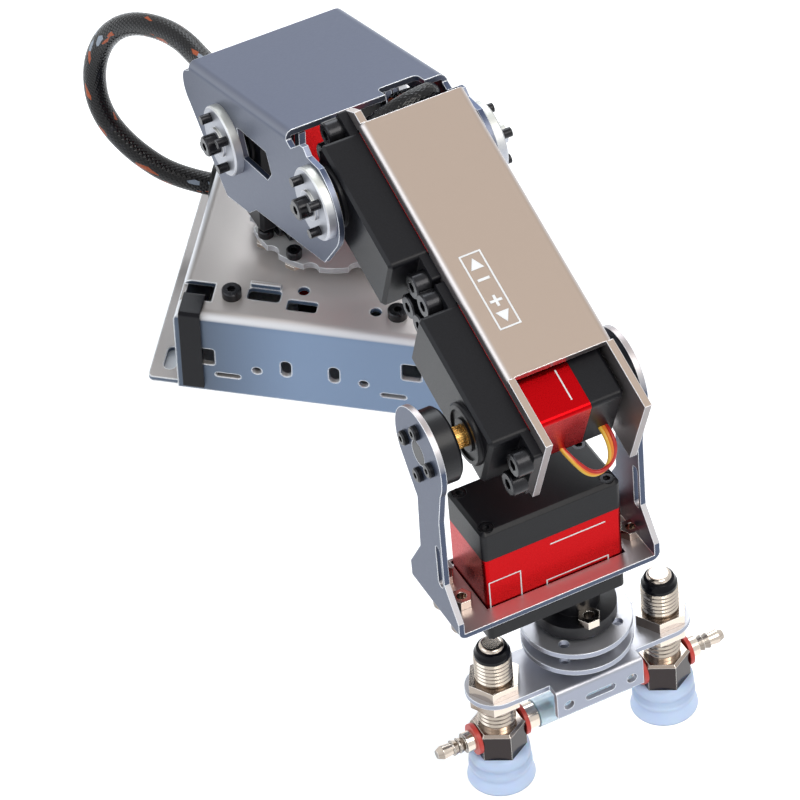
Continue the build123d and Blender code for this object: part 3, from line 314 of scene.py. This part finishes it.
def facing_up(tree):
    """0 on walls, 1 on faces that look up. The metal finishes use it to paint a lit tone on top faces and
    shade on walls.
    """
    geometry = tree.nodes.new("ShaderNodeNewGeometry")
    split = tree.nodes.new("ShaderNodeSeparateXYZ")
    tree.links.new(geometry.outputs["Normal"], split.inputs["Vector"])
    ramp = tree.nodes.new("ShaderNodeMapRange")
    ramp.inputs["From Min"].default_value = 0.3
    ramp.inputs["From Max"].default_value = 0.95
    tree.links.new(split.outputs["Z"], ramp.inputs["Value"])
    return ramp.outputs["Result"]


def bump(tree, shader, height, strength, distance, normal=None):
    node = tree.nodes.new("ShaderNodeBump")
    node.inputs["Strength"].default_value = strength
    node.inputs["Distance"].default_value = distance
    tree.links.new(height, node.inputs["Height"])
    if normal:
        tree.links.new(normal, node.inputs["Normal"])
    tree.links.new(node.outputs["Normal"], shader.inputs["Normal"])


def paint_shade_along_x(tree, colour, start, stop, low, high):
    """Painted light and shade: scales a colour from low to high between two places along x."""
    coords = tree.nodes.new("ShaderNodeTexCoord")
    split = tree.nodes.new("ShaderNodeSeparateXYZ")
    tree.links.new(coords.outputs["Object"], split.inputs["Vector"])
    ramp = tree.nodes.new("ShaderNodeMapRange")
    ramp.interpolation_type = "SMOOTHSTEP"
    for socket, value in (("From Min", start), ("From Max", stop), ("To Min", low), ("To Max", high)):
        ramp.inputs[socket].default_value = value
    tree.links.new(split.outputs["X"], ramp.inputs["Value"])
    shade = tree.nodes.new("ShaderNodeVectorMath")
    shade.operation = "SCALE"
    tree.links.new(colour, shade.inputs[0])
    tree.links.new(ramp.outputs["Result"], shade.inputs["Scale"])
    return shade.outputs[0]


def paint_bend_highlight(tree, colour, level, amount):
    """Painted highlight: lightens the faces that turn from a wall to a roof."""
    flipped = span(tree, level, 4 * amount, 0.0)
    hill = tree.nodes.new("ShaderNodeMath")
    hill.operation = "MULTIPLY"
    tree.links.new(level, hill.inputs[0])
    tree.links.new(flipped, hill.inputs[1])
    return tint(tree, hill.outputs[0], colour, BEND_PAINTED_HIGHLIGHT)


def sheet_metal(name, shaded_wall, top, edge_highlight=(0.86, 0.9, 0.95), metallic=0.8, roughness=0.36, bend_highlight=0.0, painted_shade_sweep=None,
                edge_width=0.35):
    """Satin anodised sheet: one tone on walls as painted shade, another on top faces as painted light, and
    bright cut edges as painted highlights.
    """
    material, tree, shader = node_material(name)
    grain = noise(tree, 900, 3, SHEET_GRAIN_STRETCH)
    level = facing_up(tree)
    body = blend_colours(tree, level, shaded_wall, top)
    if painted_shade_sweep:
        body = paint_shade_along_x(tree, body, *painted_shade_sweep)
    if bend_highlight:
        body = paint_bend_highlight(tree, body, level, bend_highlight)
    highlight_mask, rounded = edge_mask(tree, edge_width * MM)
    tree.links.new(tint(tree, highlight_mask, body, edge_highlight), shader.inputs["Base Color"])
    tree.links.new(span(tree, grain, roughness - 0.05, roughness + 0.07), shader.inputs["Roughness"])
    shader.inputs["Metallic"].default_value = metallic
    bump(tree, shader, grain, 0.12, 0.05 * MM, rounded)
    return material


def plain_metal(name, dark, light, roughness=0.3, metallic=1.0, scale=700):
    material, tree, shader = node_material(name)
    grain = noise(tree, scale, 5)
    tree.links.new(blend_colours(tree, grain, dark, light), shader.inputs["Base Color"])
    tree.links.new(span(tree, grain, roughness - 0.08, roughness + 0.1), shader.inputs["Roughness"])
    shader.inputs["Metallic"].default_value = metallic
    rounded = edge_mask(tree, 0.2 * MM)[1]
    bump(tree, shader, grain, 0.08, 0.05 * MM, rounded)
    return material


def moulding(name, dark, light, roughness=0.45, scale=2600, coat=0.0, depth=0.3, gloss=0.5):
    """Moulded plastic or rubber with a fine even texture."""
    material, tree, shader = node_material(name)
    grain = noise(tree, scale, 2)
    tree.links.new(blend_colours(tree, grain, dark, light), shader.inputs["Base Color"])
    tree.links.new(span(tree, grain, roughness - 0.05, roughness + 0.08), shader.inputs["Roughness"])
    shader.inputs["Coat Weight"].default_value = coat
    shader.inputs["Specular IOR Level"].default_value = gloss
    rounded = edge_mask(tree, 0.3 * MM)[1]
    bump(tree, shader, grain, depth, 0.06 * MM, rounded)
    return material


def see_through(name, colour, roughness, transmission):
    material, tree, shader = node_material(name)
    cloud = noise(tree, 220, 2)
    pale = tuple(min(1.0, part * 1.08) for part in colour)
    tree.links.new(blend_colours(tree, cloud, colour, pale), shader.inputs["Base Color"])
    tree.links.new(span(tree, cloud, roughness, roughness + 0.08), shader.inputs["Roughness"])
    shader.inputs["Transmission Weight"].default_value = transmission
    shader.inputs["IOR"].default_value = 1.42
    shader.inputs["Subsurface Weight"].default_value = 0.25
    shader.inputs["Subsurface Scale"].default_value = 2 * MM
    return material


def turned_metal(name, side, top, roughness=0.22, reflection_contrast=1.0, edge_width=0.25):
    """Plated metal: painted reflection streaks that follow the way each side face looks, an even lit tone on
    top, and painted highlights on edges.
    """
    material, tree, shader = node_material(name)
    grain = noise(tree, 1500, 2)
    coords = tree.nodes.new("ShaderNodeTexCoord")
    across = tree.nodes.new("ShaderNodeVectorMath")
    across.operation = "DOT_PRODUCT"
    across.inputs[1].default_value = -LEFT
    tree.links.new(coords.outputs["Normal"], across.inputs[0])
    turn = tree.nodes.new("ShaderNodeMapRange")
    turn.inputs["From Min"].default_value = -1.0
    tree.links.new(across.outputs["Value"], turn.inputs["Value"])
    ramp = tree.nodes.new("ShaderNodeValToRGB")
    while len(ramp.color_ramp.elements) < len(PAINTED_REFLECTION_STREAKS):
        ramp.color_ramp.elements.new(0.5)
    for k, (element, strength) in enumerate(zip(ramp.color_ramp.elements, PAINTED_REFLECTION_STREAKS)):
        element.position = k / (len(PAINTED_REFLECTION_STREAKS) - 1)
        factor = 1 + (strength - 1) * reflection_contrast
        element.color = (*(min(1.0, part * factor) for part in side), 1)
    tree.links.new(turn.outputs["Result"], ramp.inputs["Fac"])
    body = tint(tree, facing_up(tree), ramp.outputs["Color"], top)
    highlight_mask, rounded = edge_mask(tree, edge_width * MM)
    highlighted_body = tint(tree, span(tree, highlight_mask, 0.0, 0.7), body, EDGE_PAINTED_HIGHLIGHT)
    tree.links.new(highlighted_body, shader.inputs["Base Color"])
    tree.links.new(span(tree, grain, roughness - 0.04, roughness + 0.08), shader.inputs["Roughness"])
    shader.inputs["Metallic"].default_value = 1.0
    tree.links.new(rounded, shader.inputs["Normal"])
    return material


def braided_sleeve(name):
    """Black wrapped braid with small orange and pale flecks, laid along the cord by its UV map."""
    material, tree, shader = node_material(name)
    coords = tree.nodes.new("ShaderNodeUVMap")
    coords.uv_map = "along_cord"
    mapping = tree.nodes.new("ShaderNodeMapping")
    mapping.inputs["Rotation"].default_value = (0, 0, radians(28))
    mapping.inputs["Scale"].default_value = (1.3, 0.5, 1)
    tree.links.new(coords.outputs["UV"], mapping.inputs["Vector"])
    cells = tree.nodes.new("ShaderNodeTexVoronoi")
    cells.inputs["Scale"].default_value = 0.62
    tree.links.new(mapping.outputs["Vector"], cells.inputs["Vector"])
    split = tree.nodes.new("ShaderNodeSeparateColor")
    tree.links.new(cells.outputs["Color"], split.inputs["Color"])
    ramp = tree.nodes.new("ShaderNodeValToRGB")
    ramp.color_ramp.interpolation = "CONSTANT"
    ramp.color_ramp.elements[0].color = BRAID_BLACK
    ramp.color_ramp.elements[1].position = 0.86
    ramp.color_ramp.elements[1].color = (0.38, 0.07, 0.015, 1)
    for place, colour in BRAID_FLECKS:
        ramp.color_ramp.elements.new(place).color = colour
    tree.links.new(split.outputs["Red"], ramp.inputs["Fac"])
    tree.links.new(ramp.outputs["Color"], shader.inputs["Base Color"])
    waves = []
    for lean, scale, profile in BRAID_WAVES:
        wave = tree.nodes.new("ShaderNodeTexWave")
        wave.inputs["Scale"].default_value = scale
        wave.wave_profile = profile
        turn = tree.nodes.new("ShaderNodeMapping")
        turn.inputs["Rotation"].default_value = (0, 0, radians(lean))
        tree.links.new(coords.outputs["UV"], turn.inputs["Vector"])
        tree.links.new(turn.outputs["Vector"], wave.inputs["Vector"])
        waves.append(wave.outputs["Fac"])
    weave = tree.nodes.new("ShaderNodeMath")
    weave.operation = "MAXIMUM"
    tree.links.new(waves[0], weave.inputs[0])
    tree.links.new(waves[1], weave.inputs[1])
    wrap = tree.nodes.new("ShaderNodeMath")
    wrap.operation = "MULTIPLY_ADD"
    wrap.inputs[1].default_value = 2.2
    tree.links.new(waves[2], wrap.inputs[0])
    tree.links.new(span(tree, weave.outputs[0], 0.0, 0.28), wrap.inputs[2])
    tree.links.new(span(tree, weave.outputs[0], 0.3, 0.16), shader.inputs["Roughness"])
    shader.inputs["Specular IOR Level"].default_value = 0.3
    bump(tree, shader, wrap.outputs[0], 0.8, 0.35 * MM)
    return material


# Painted light in the finishes: wall, side and top tones of the sheet and turned metals are painted shade and
# light, their edge colours are painted highlights, and the base sheet is painted darker at its left end.
MATERIALS = {
    "base_sheet": sheet_metal("base_sheet", (0.13, 0.185, 0.28), (0.58, 0.535, 0.51), (0.97, 0.98, 1.0),
                              0.3, 0.34, bend_highlight=0.8, painted_shade_sweep=(-0.036, 0.0, 0.5, 1.5), edge_width=0.7),
    "turret_sheet": sheet_metal("turret_sheet", (0.50, 0.50, 0.52), (0.74, 0.72, 0.70),
                                (0.97, 0.98, 1.0), 0.35),
    "arm_sheet": sheet_metal("arm_sheet", (0.06, 0.075, 0.12), (0.075, 0.094, 0.155),
                             (0.9, 0.93, 0.97), bend_highlight=0.12),
    "forearm_sheet": sheet_metal("forearm_sheet", (0.30, 0.27, 0.27), (0.44, 0.35, 0.29),
                                 (0.92, 0.93, 0.96), bend_highlight=0.38),
    "wrist_sheet": sheet_metal("wrist_sheet", (0.062, 0.078, 0.125), (0.42, 0.38, 0.38),
                               (0.95, 0.97, 1.0), bend_highlight=0.3),
    "bright_alloy": sheet_metal("bright_alloy", (0.32, 0.34, 0.41), (0.48, 0.48, 0.51)),
    "servo_black": moulding("servo_black", (0.003, 0.003, 0.004), (0.009, 0.009, 0.012), 0.34, gloss=0.22),
    "servo_red": plain_metal("servo_red", (0.43, 0.001, 0.003), (0.47, 0.002, 0.005), 0.28, 0.96, 2500),
    "brass_spline": plain_metal("brass_spline", (0.50, 0.28, 0.07), (0.70, 0.44, 0.15), 0.26),
    "horn_black": moulding("horn_black", (0.004, 0.004, 0.005), (0.011, 0.011, 0.014), 0.3, gloss=0.3),
    "zinc_disc": turned_metal("zinc_disc", (0.46, 0.475, 0.52), (0.60, 0.61, 0.58), 0.44, 0.25),
    "black_screw": plain_metal("black_screw", (0.008, 0.008, 0.010), (0.03, 0.03, 0.034), 0.24, 0.6),
    "nickel": turned_metal("nickel", (0.50, 0.43, 0.37), (0.62, 0.55, 0.48), 0.15),
    "thread_nickel": turned_metal("thread_nickel", (0.17, 0.135, 0.11), (0.80, 0.72, 0.62), 0.18, 0.8, 0.04),
    "manifold_nickel": turned_metal("manifold_nickel", (0.05, 0.042, 0.042), (0.50, 0.42, 0.36), 0.14),
    "red_seal": moulding("red_seal", (0.50, 0.035, 0.022), (0.62, 0.06, 0.045), 0.4, 1800),
    "lead_orange": moulding("lead_orange", (0.75, 0.20, 0.02), (0.85, 0.26, 0.03), 0.35, 1500, depth=0.05),
    "lead_red": moulding("lead_red", (0.45, 0.012, 0.01), (0.55, 0.02, 0.015), 0.35, 1500, depth=0.05),
    "lead_yellow": moulding("lead_yellow", (0.72, 0.42, 0.04), (0.82, 0.50, 0.06), 0.35, 1500, depth=0.05),
    "cup_silicone": see_through("cup_silicone", (0.63, 0.75, 1.0), 0.26, 0.4),
    "clear_tube": see_through("clear_tube", (0.72, 0.85, 0.95), 0.12, 0.7),
    "cable_black": braided_sleeve("cable_black"),
    "clip_black": moulding("clip_black", (0.002, 0.002, 0.004), (0.005, 0.005, 0.008), 0.14, gloss=0.16),
}
SHEETS = {
    "base_cover": "base_sheet", "turret_plate": "turret_sheet", "upper_arm_channel": "arm_sheet",
    "shoulder_bracket": "arm_sheet", "forearm_channel": "forearm_sheet", "wrist_bracket": "wrist_sheet",
    "manifolds": "manifold_nickel", "arm_studs": "black_screw", "bracket_bolts": "nickel",
}
SLOTS = {part["node"]: part["material_slot"] for part in frame["record"]["subparts"]}


def dress(piece, key):
    piece.data.materials.clear()
    piece.data.materials.append(MATERIALS[key])


for node, piece in frame["nodes"].items():
    dress(piece, SHEETS.get(node, SLOTS[node]))
for piece in (cable_upper, cable_lower):
    dress(piece, "cable_black")


# Three-core lead that loops from the wrist servo's case back into its rear cover
LEAD_FACE = 85.6
LEAD_DIAMETER = 1.15 * MM
LEAD_CORES = (("yellow", "lead_yellow", 0.0), ("orange", "lead_orange", 0.9), ("red", "lead_red", 1.8))

for colour, finish, shift in LEAD_CORES:
    route = [
        forearm.at(LEAD_FACE - 0.5, -8.3, 3.4 - 0.2 * shift),
        forearm.at(LEAD_FACE + 3.4, -8.6, 2.6 - 0.3 * shift),
        forearm.at(LEAD_FACE + 8.3, -13.2 + 0.3 * shift, -1.6 - 0.6 * shift),
        forearm.at(LEAD_FACE + 8.0, -11.4 + 0.7 * shift, -7.0 - 0.5 * shift),
        forearm.at(LEAD_FACE + 4.6, -4.6 + 0.4 * shift, -7.6 - 0.9 * shift),
        forearm.at(LEAD_FACE - 0.5, -4.6, -7.2 - 0.9 * shift),
    ]
    lead = cord_tube("lead_" + colour, route, LEAD_DIAMETER)[0]
    dress(lead, finish)
    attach(lead, "forearm")
    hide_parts("servo_lead")

# Sleeved cable that bulges up in the notch at the elbow
bulge_route = [
    arm.at(34, 7.0, -7.0),
    arm.at(43, 10.8, -12.0),
    arm.at(50.6, 13.9, -10.6),
    arm.at(52.4, 14.2, -3.2),
    arm.at(50.8, 11.4, 4.4),
    arm.at(47.6, 8.6, 8.8),
    arm.at(42, 5.0, 8.0),
]
cable_bulge, bulge_line = cord_tube("cable_bulge", bulge_route, CABLE_DIAMETER)
dress(cable_bulge, "cable_black")
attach(cable_bulge, "upper_arm")
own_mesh(cable_bulge)


def piece_from(builder, name):
    mesh = bpy.data.meshes.new(name)
    builder.to_mesh(mesh)
    builder.free()
    return new_object(name, mesh)


# Plain printed marks
INK_THICKNESS = 0.06 * MM


def printed(name, place, normal, outlines, body):
    """Thin ink shapes: place(x, y) turns an outline's corner in millimetres into a point of the surface."""
    builder = bmesh.new()
    faces = [builder.faces.new([builder.verts.new(place(x, y)) for x, y in outline]) for outline in outlines]
    raised = bmesh.ops.extrude_face_region(builder, geom=faces, use_keep_orig=True)["geom"]
    lifted = [item for item in raised if isinstance(item, bmesh.types.BMVert)]
    bmesh.ops.translate(builder, vec=normal * INK_THICKNESS, verts=lifted)
    bmesh.ops.recalc_face_normals(builder, faces=builder.faces[:])
    piece = piece_from(builder, name)
    dress(piece, "ink")
    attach(piece, body)


def bar(x0, x1, y0, y1):
    return [(x0, y0), (x1, y0), (x1, y1), (x0, y1)]


def frame_bars(x0, x1, y0, y1, width):
    return [bar(x0, x1, y0, y0 + width), bar(x0, x1, y1 - width, y1),
            bar(x0, x0 + width, y0 + width, y1 - width), bar(x1 - width, x1, y0 + width, y1 - width)]


def furthest(node, direction, origin):
    """How far a node reaches past origin, in millimetres."""
    vertices = frame["nodes"][node].data.vertices
    return max((vertex.co - origin).dot(direction) for vertex in vertices) / MM


def arrow(middle, tip, length):
    """Triangle with its point at tip, length long towards its base."""
    return [
        (middle, tip),
        (middle - ARROW_HALF_WIDTH, tip + length),
        (middle + ARROW_HALF_WIDTH, tip + length),
    ]


MATERIALS["ink"] = moulding("ink", (0.86, 0.86, 0.86), (0.92, 0.92, 0.92), 0.5, 3000, depth=0.05)
ROOF_HEIGHT = 13.8
MARK_LEFT, MARK_RIGHT, MARK_REAR, MARK_FRONT = -10.0, -3.8, 35.8, 59.0
MARK_MIDDLE = (MARK_LEFT + MARK_RIGHT) / 2
ARROW_INSET, ARROW_LENGTH, ARROW_HALF_WIDTH = 1.6, 3.4, 1.9
marks = frame_bars(MARK_LEFT, MARK_RIGHT, MARK_REAR, MARK_FRONT, 0.5)
marks += [
    arrow(MARK_MIDDLE, MARK_REAR + ARROW_INSET, ARROW_LENGTH),
    arrow(MARK_MIDDLE, MARK_FRONT - ARROW_INSET, -ARROW_LENGTH),
    bar(MARK_MIDDLE - 1.7, MARK_MIDDLE + 1.7, 43.6, 44.4),
    bar(MARK_MIDDLE - 1.7, MARK_MIDDLE + 1.7, 50.4, 51.2),
    bar(MARK_MIDDLE - 0.4, MARK_MIDDLE + 0.4, 49.1, 50.4),
    bar(MARK_MIDDLE - 0.4, MARK_MIDDLE + 0.4, 51.2, 52.5),
]
printed("roof_marks", lambda x, y: forearm.at(y, ROOF_HEIGHT, -x), forearm.upper, marks, "forearm")
label_bars = frame_bars(-28.2, -18.8, -52.2, -42.9, 0.35) + frame_bars(-11.8, 6.5, -52.8, -50.0, 0.35)
label_bars += [bar(-10.0, 6.0, -38.3, -37.9)]
tool_face = furthest("tool_motor_case", wrist.along, wrist.origin)
wrist_case_top = furthest("wrist_motor_case", forearm.upper, forearm.origin)
printed("wrist_case_marks", lambda x, y: forearm.at(y, wrist_case_top, -x), forearm.upper,
        [bar(-1.4, -1.0, 72.8, 82.0)], "forearm")
printed("tool_case_marks", lambda x, y: wrist.at(tool_face, y, -x), wrist.along, label_bars, "wrist")


def hex_piece(name, centre, body, across, height, bore):
    """Plain hexagon nut across the wrist's upper side: six sides from a circle, and a round hole."""
    axis, turn = wrist.upper, wrist.along
    across_corners = across / cos(pi / 6)
    builder = bmesh.new()
    for radius, segments in ((across_corners / 2, 6), (bore / 2, 24)):
        bmesh.ops.create_circle(builder, cap_ends=False, radius=radius * MM, segments=segments)
    bmesh.ops.triangle_fill(builder, edges=builder.edges[:], use_beauty=True)
    rim = bore * 0.51 * MM
    inner = [face for face in builder.faces if all(vert.co.length < rim for vert in face.verts)]
    bmesh.ops.delete(builder, geom=inner, context="FACES")
    raised = bmesh.ops.extrude_face_region(builder, geom=builder.faces[:], use_keep_orig=True)["geom"]
    top = [item for item in raised if isinstance(item, bmesh.types.BMVert)]
    bmesh.ops.translate(builder, vec=(0, 0, height * MM), verts=top)
    bmesh.ops.recalc_face_normals(builder, faces=builder.faces[:])
    side = turn.cross(axis).normalized()
    pose = Matrix((axis.cross(side), side, axis)).transposed().to_4x4()
    bmesh.ops.transform(builder, matrix=Matrix.Translation(centre) @ pose, verts=builder.verts[:])
    piece = piece_from(builder, name)
    dress(piece, "nickel")
    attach(piece, body)


# Suction tool: threads and black collars on the stems, the bellows cups, and small nuts
CROSS_DEPTH, CROSS_SHEET, NUT_THICKNESS = 90.6, 1.6, 3.4
STEM_SPACING, STEM_TOP, STEM_BOTTOM, CUP_TOP, CUP_BOTTOM = 50.3, 75.0, 104.0, 113.0, 124.0
TOOL_LEFT = -1.0
THREAD_ROOT, THREAD_CREST, THREAD_PITCH = 4.72, 5.12, 1.25
THREAD_SUNK = 0.4
TURN_STEPS, MERGE_DISTANCE = 48, 1e-6


def turned(name, outline, side, key):
    """Ring turned about a stem's axis from (radius, depth under the wrist) corners, in millimetres."""
    centre = wrist.at(0, 0, TOOL_LEFT)
    down = -wrist.upper
    right = -LEFT
    origin = centre + right * side * STEM_SPACING / 2 * MM
    builder = bmesh.new()
    verts = [builder.verts.new(origin + right * radius * MM + down * depth * MM) for radius, depth in outline]
    edges = [builder.edges.new(pair) for pair in zip(verts, verts[1:] + verts[:1])]
    bmesh.ops.spin(builder, geom=verts + edges, cent=origin, axis=down, angle=2 * pi, steps=TURN_STEPS,
                   use_merge=True)
    bmesh.ops.remove_doubles(builder, verts=builder.verts[:], dist=MERGE_DISTANCE)
    bmesh.ops.recalc_face_normals(builder, faces=builder.faces[:])
    piece = piece_from(builder, name)
    dress(piece, key)
    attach(piece, "tool")
    return piece


def thread_outline(top, bottom):
    turns = int((bottom - top) / THREAD_PITCH)
    step = (bottom - top) / turns
    outline = [(THREAD_ROOT - THREAD_SUNK, top)]
    for k in range(turns):
        outline += [(THREAD_ROOT, top + (k + 0.05) * step), (THREAD_CREST, top + (k + 0.4) * step),
                    (THREAD_CREST, top + (k + 0.6) * step), (THREAD_ROOT, top + (k + 0.95) * step)]
    return outline + [(THREAD_ROOT - THREAD_SUNK, bottom)]


CUP_OUTLINE = [
    (4.0, CUP_TOP), (7.4, CUP_TOP), (8.2, CUP_TOP + 0.8), (8.4, CUP_TOP + 3.0), (7.5, CUP_TOP + 3.8),
    (8.5, CUP_TOP + 4.7), (8.7, CUP_TOP + 6.2), (7.6, CUP_TOP + 7.1), (8.3, CUP_TOP + 8.0),
    (9.2, CUP_BOTTOM - 0.5), (9.3, CUP_BOTTOM), (8.6, CUP_BOTTOM), (7.4, CUP_TOP + 8.4),
    (6.4, CUP_TOP + 7.1), (7.2, CUP_TOP + 5.4), (6.3, CUP_TOP + 3.8), (6.9, CUP_TOP + 2.0),
    (4.0, CUP_TOP + 1.6),
]
COLLAR_OUTLINE = [
    (3.3, STEM_TOP + 1.1), (4.1, STEM_TOP + 1.4), (4.4, STEM_TOP + 2.2), (4.9, STEM_TOP + 3.1),
    (4.9, STEM_TOP + 4.1), (3.3, STEM_TOP + 4.1),
]
UPPER_THREAD = (STEM_TOP + 4.4, CROSS_DEPTH - NUT_THICKNESS)
LOWER_THREAD = (CROSS_DEPTH + CROSS_SHEET + NUT_THICKNESS, STEM_BOTTOM - 1.2)
HORN_NUT = {"across": 5.5, "height": 2.4, "bore": 3.0}
BRACKET_NUT = {"across": 5.0, "height": 2.6, "bore": 2.6}
BRACKET_NUT_DEPTH = 51.35
BRACKET_NUTS = (
    ("left_front", 5.0, 33.75),
    ("left_rear", -5.0, 33.75),
    ("right_front", 5.0, -15.75),
    ("right_rear", -5.0, -15.75),
)
HANDS = ((-1, "left"), (1, "right"))
hex_piece("horn_nut", wrist.at(9.0, -72.2, -0.3), "tool", **HORN_NUT)
for hand, along, left in BRACKET_NUTS:
    hex_piece(f"bracket_nut_{hand}", wrist.at(along, -BRACKET_NUT_DEPTH, left), "wrist", **BRACKET_NUT)
for side, hand in HANDS:
    for part, (top, bottom) in (("upper", UPPER_THREAD), ("lower", LOWER_THREAD)):
        thread = turned(f"{hand}_{part}_thread", thread_outline(top, bottom), side, "thread_nickel")
    collar = turned(f"{hand}_collar", COLLAR_OUTLINE, side, "clip_black")
cup_pieces = [turned(f"{hand}_cup", CUP_OUTLINE, side, "cup_silicone") for side, hand in HANDS]
for piece in cup_pieces:
    for face in piece.data.polygons:
        face.use_smooth = True
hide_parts("suction_cups")
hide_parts("suction_cups")

# Stage. The floor lies low enough that the cups stay above it at every joint limit.
FLOOR_DROP = 40.0 * MM
FLOOR_SIZE = 6.0
FLOOR_GLOW = 0.5
BOARD_TOP, BOARD_THICKNESS, BOARD_INSET = -0.1 * MM, 1.2 * MM, 1.0 * MM
LAMP_AIM = Vector((0.03, -0.03, 0.05))
WORLD_TINT = (0.88, 0.94, 1.0, 1)
WORLD_STRENGTH = 0.5


def paper(name, dark, light, glow):
    """Matt paper that glows for the camera alone, so that a pale ground sends no more light to the object."""
    material, tree, shader = node_material(name)
    fine = noise(tree, 3, 2)
    shades = blend_colours(tree, fine, (dark, dark, dark), (light, light, light))
    tree.links.new(shades, shader.inputs["Base Color"])
    shader.inputs["Roughness"].default_value = 0.9
    shader.inputs["Specular IOR Level"].default_value = 0.0
    shader.inputs["Emission Color"].default_value = (1, 1, 1, 1)
    tree.links.new(span(tree, seen_directly(tree), 0.0, glow), shader.inputs["Emission Strength"])
    return material


def lay_board():
    """Thin pale board under the base, so that its inside is in shadow."""
    low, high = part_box("base_cover")
    sizes = (high[0] - low[0] - 2 * BOARD_INSET, high[1] - low[1] - 2 * BOARD_INSET, BOARD_THICKNESS)
    middle = ((high[0] + low[0]) / 2, (high[1] + low[1]) / 2, BOARD_TOP - BOARD_THICKNESS / 2)
    bpy.ops.mesh.primitive_cube_add(size=1, location=middle)
    board = bpy.context.object
    board.name = "board"
    board.scale = sizes
    for name, glow in (("board_paper", FLOOR_GLOW), ("board_top", 0.0)):
        board.data.materials.append(paper(name, 0.9, 0.93, glow))
    for face in board.data.polygons:
        face.material_index = 1 if face.normal.z > 0.5 else 0


def seen_directly(tree):
    """1 for rays from the camera, off glossy metal or through clear parts; 0 for the rest."""
    path = tree.nodes.new("ShaderNodeLightPath")
    value = path.outputs["Is Camera Ray"]
    for kind in ("Is Glossy Ray", "Is Transmission Ray"):
        larger = tree.nodes.new("ShaderNodeMath")
        larger.operation = "MAXIMUM"
        tree.links.new(value, larger.inputs[0])
        tree.links.new(path.outputs[kind], larger.inputs[1])
        value = larger.outputs[0]
    return value


def make_stage():
    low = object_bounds()[0][2] - FLOOR_DROP
    bpy.ops.mesh.primitive_plane_add(size=FLOOR_SIZE, location=(0, 0, low))
    floor = bpy.context.object
    floor.name = "floor"
    floor.data.materials.append(paper("floor_paper", 0.93, 0.95, FLOOR_GLOW))
    lay_board()

    world = bpy.data.worlds.new("studio")
    world.use_nodes = True
    bpy.context.scene.world = world
    nodes, links = world.node_tree.nodes, world.node_tree.links
    soft = nodes["Background"]
    soft.inputs["Color"].default_value = WORLD_TINT
    soft.inputs["Strength"].default_value = WORLD_STRENGTH
    white = nodes.new("ShaderNodeBackground")
    white.inputs["Color"].default_value = (1, 1, 1, 1)
    white.inputs["Strength"].default_value = 1.0
    mix = nodes.new("ShaderNodeMixShader")
    links.new(seen_directly(world.node_tree), mix.inputs["Fac"])
    links.new(soft.outputs["Background"], mix.inputs[1])
    links.new(white.outputs["Background"], mix.inputs[2])
    links.new(mix.outputs["Shader"], nodes["World Output"].inputs["Surface"])


def area_light(name, place, size, power, colour):
    data = bpy.data.lights.new(name, "AREA")
    data.shape = "SQUARE"
    data.size = size
    data.energy = power
    data.color = colour
    lamp = bpy.data.objects.new(name, data)
    lamp.location = place
    lamp.rotation_euler = (LAMP_AIM - Vector(place)).to_track_quat("-Z", "Y").to_euler()
    bpy.context.scene.collection.objects.link(lamp)


make_stage()
area_light("key", (0.5, -0.5, 1.1), 0.7, 8, (1.0, 0.97, 0.92))
area_light("fill", (-0.9, -0.5, 0.6), 0.9, 3.5, (0.85, 0.92, 1.0))
area_light("rim", (-0.2, 0.9, 0.7), 0.6, 4, (0.9, 0.95, 1.0))
bpy.context.scene.view_settings.view_transform = "Standard"
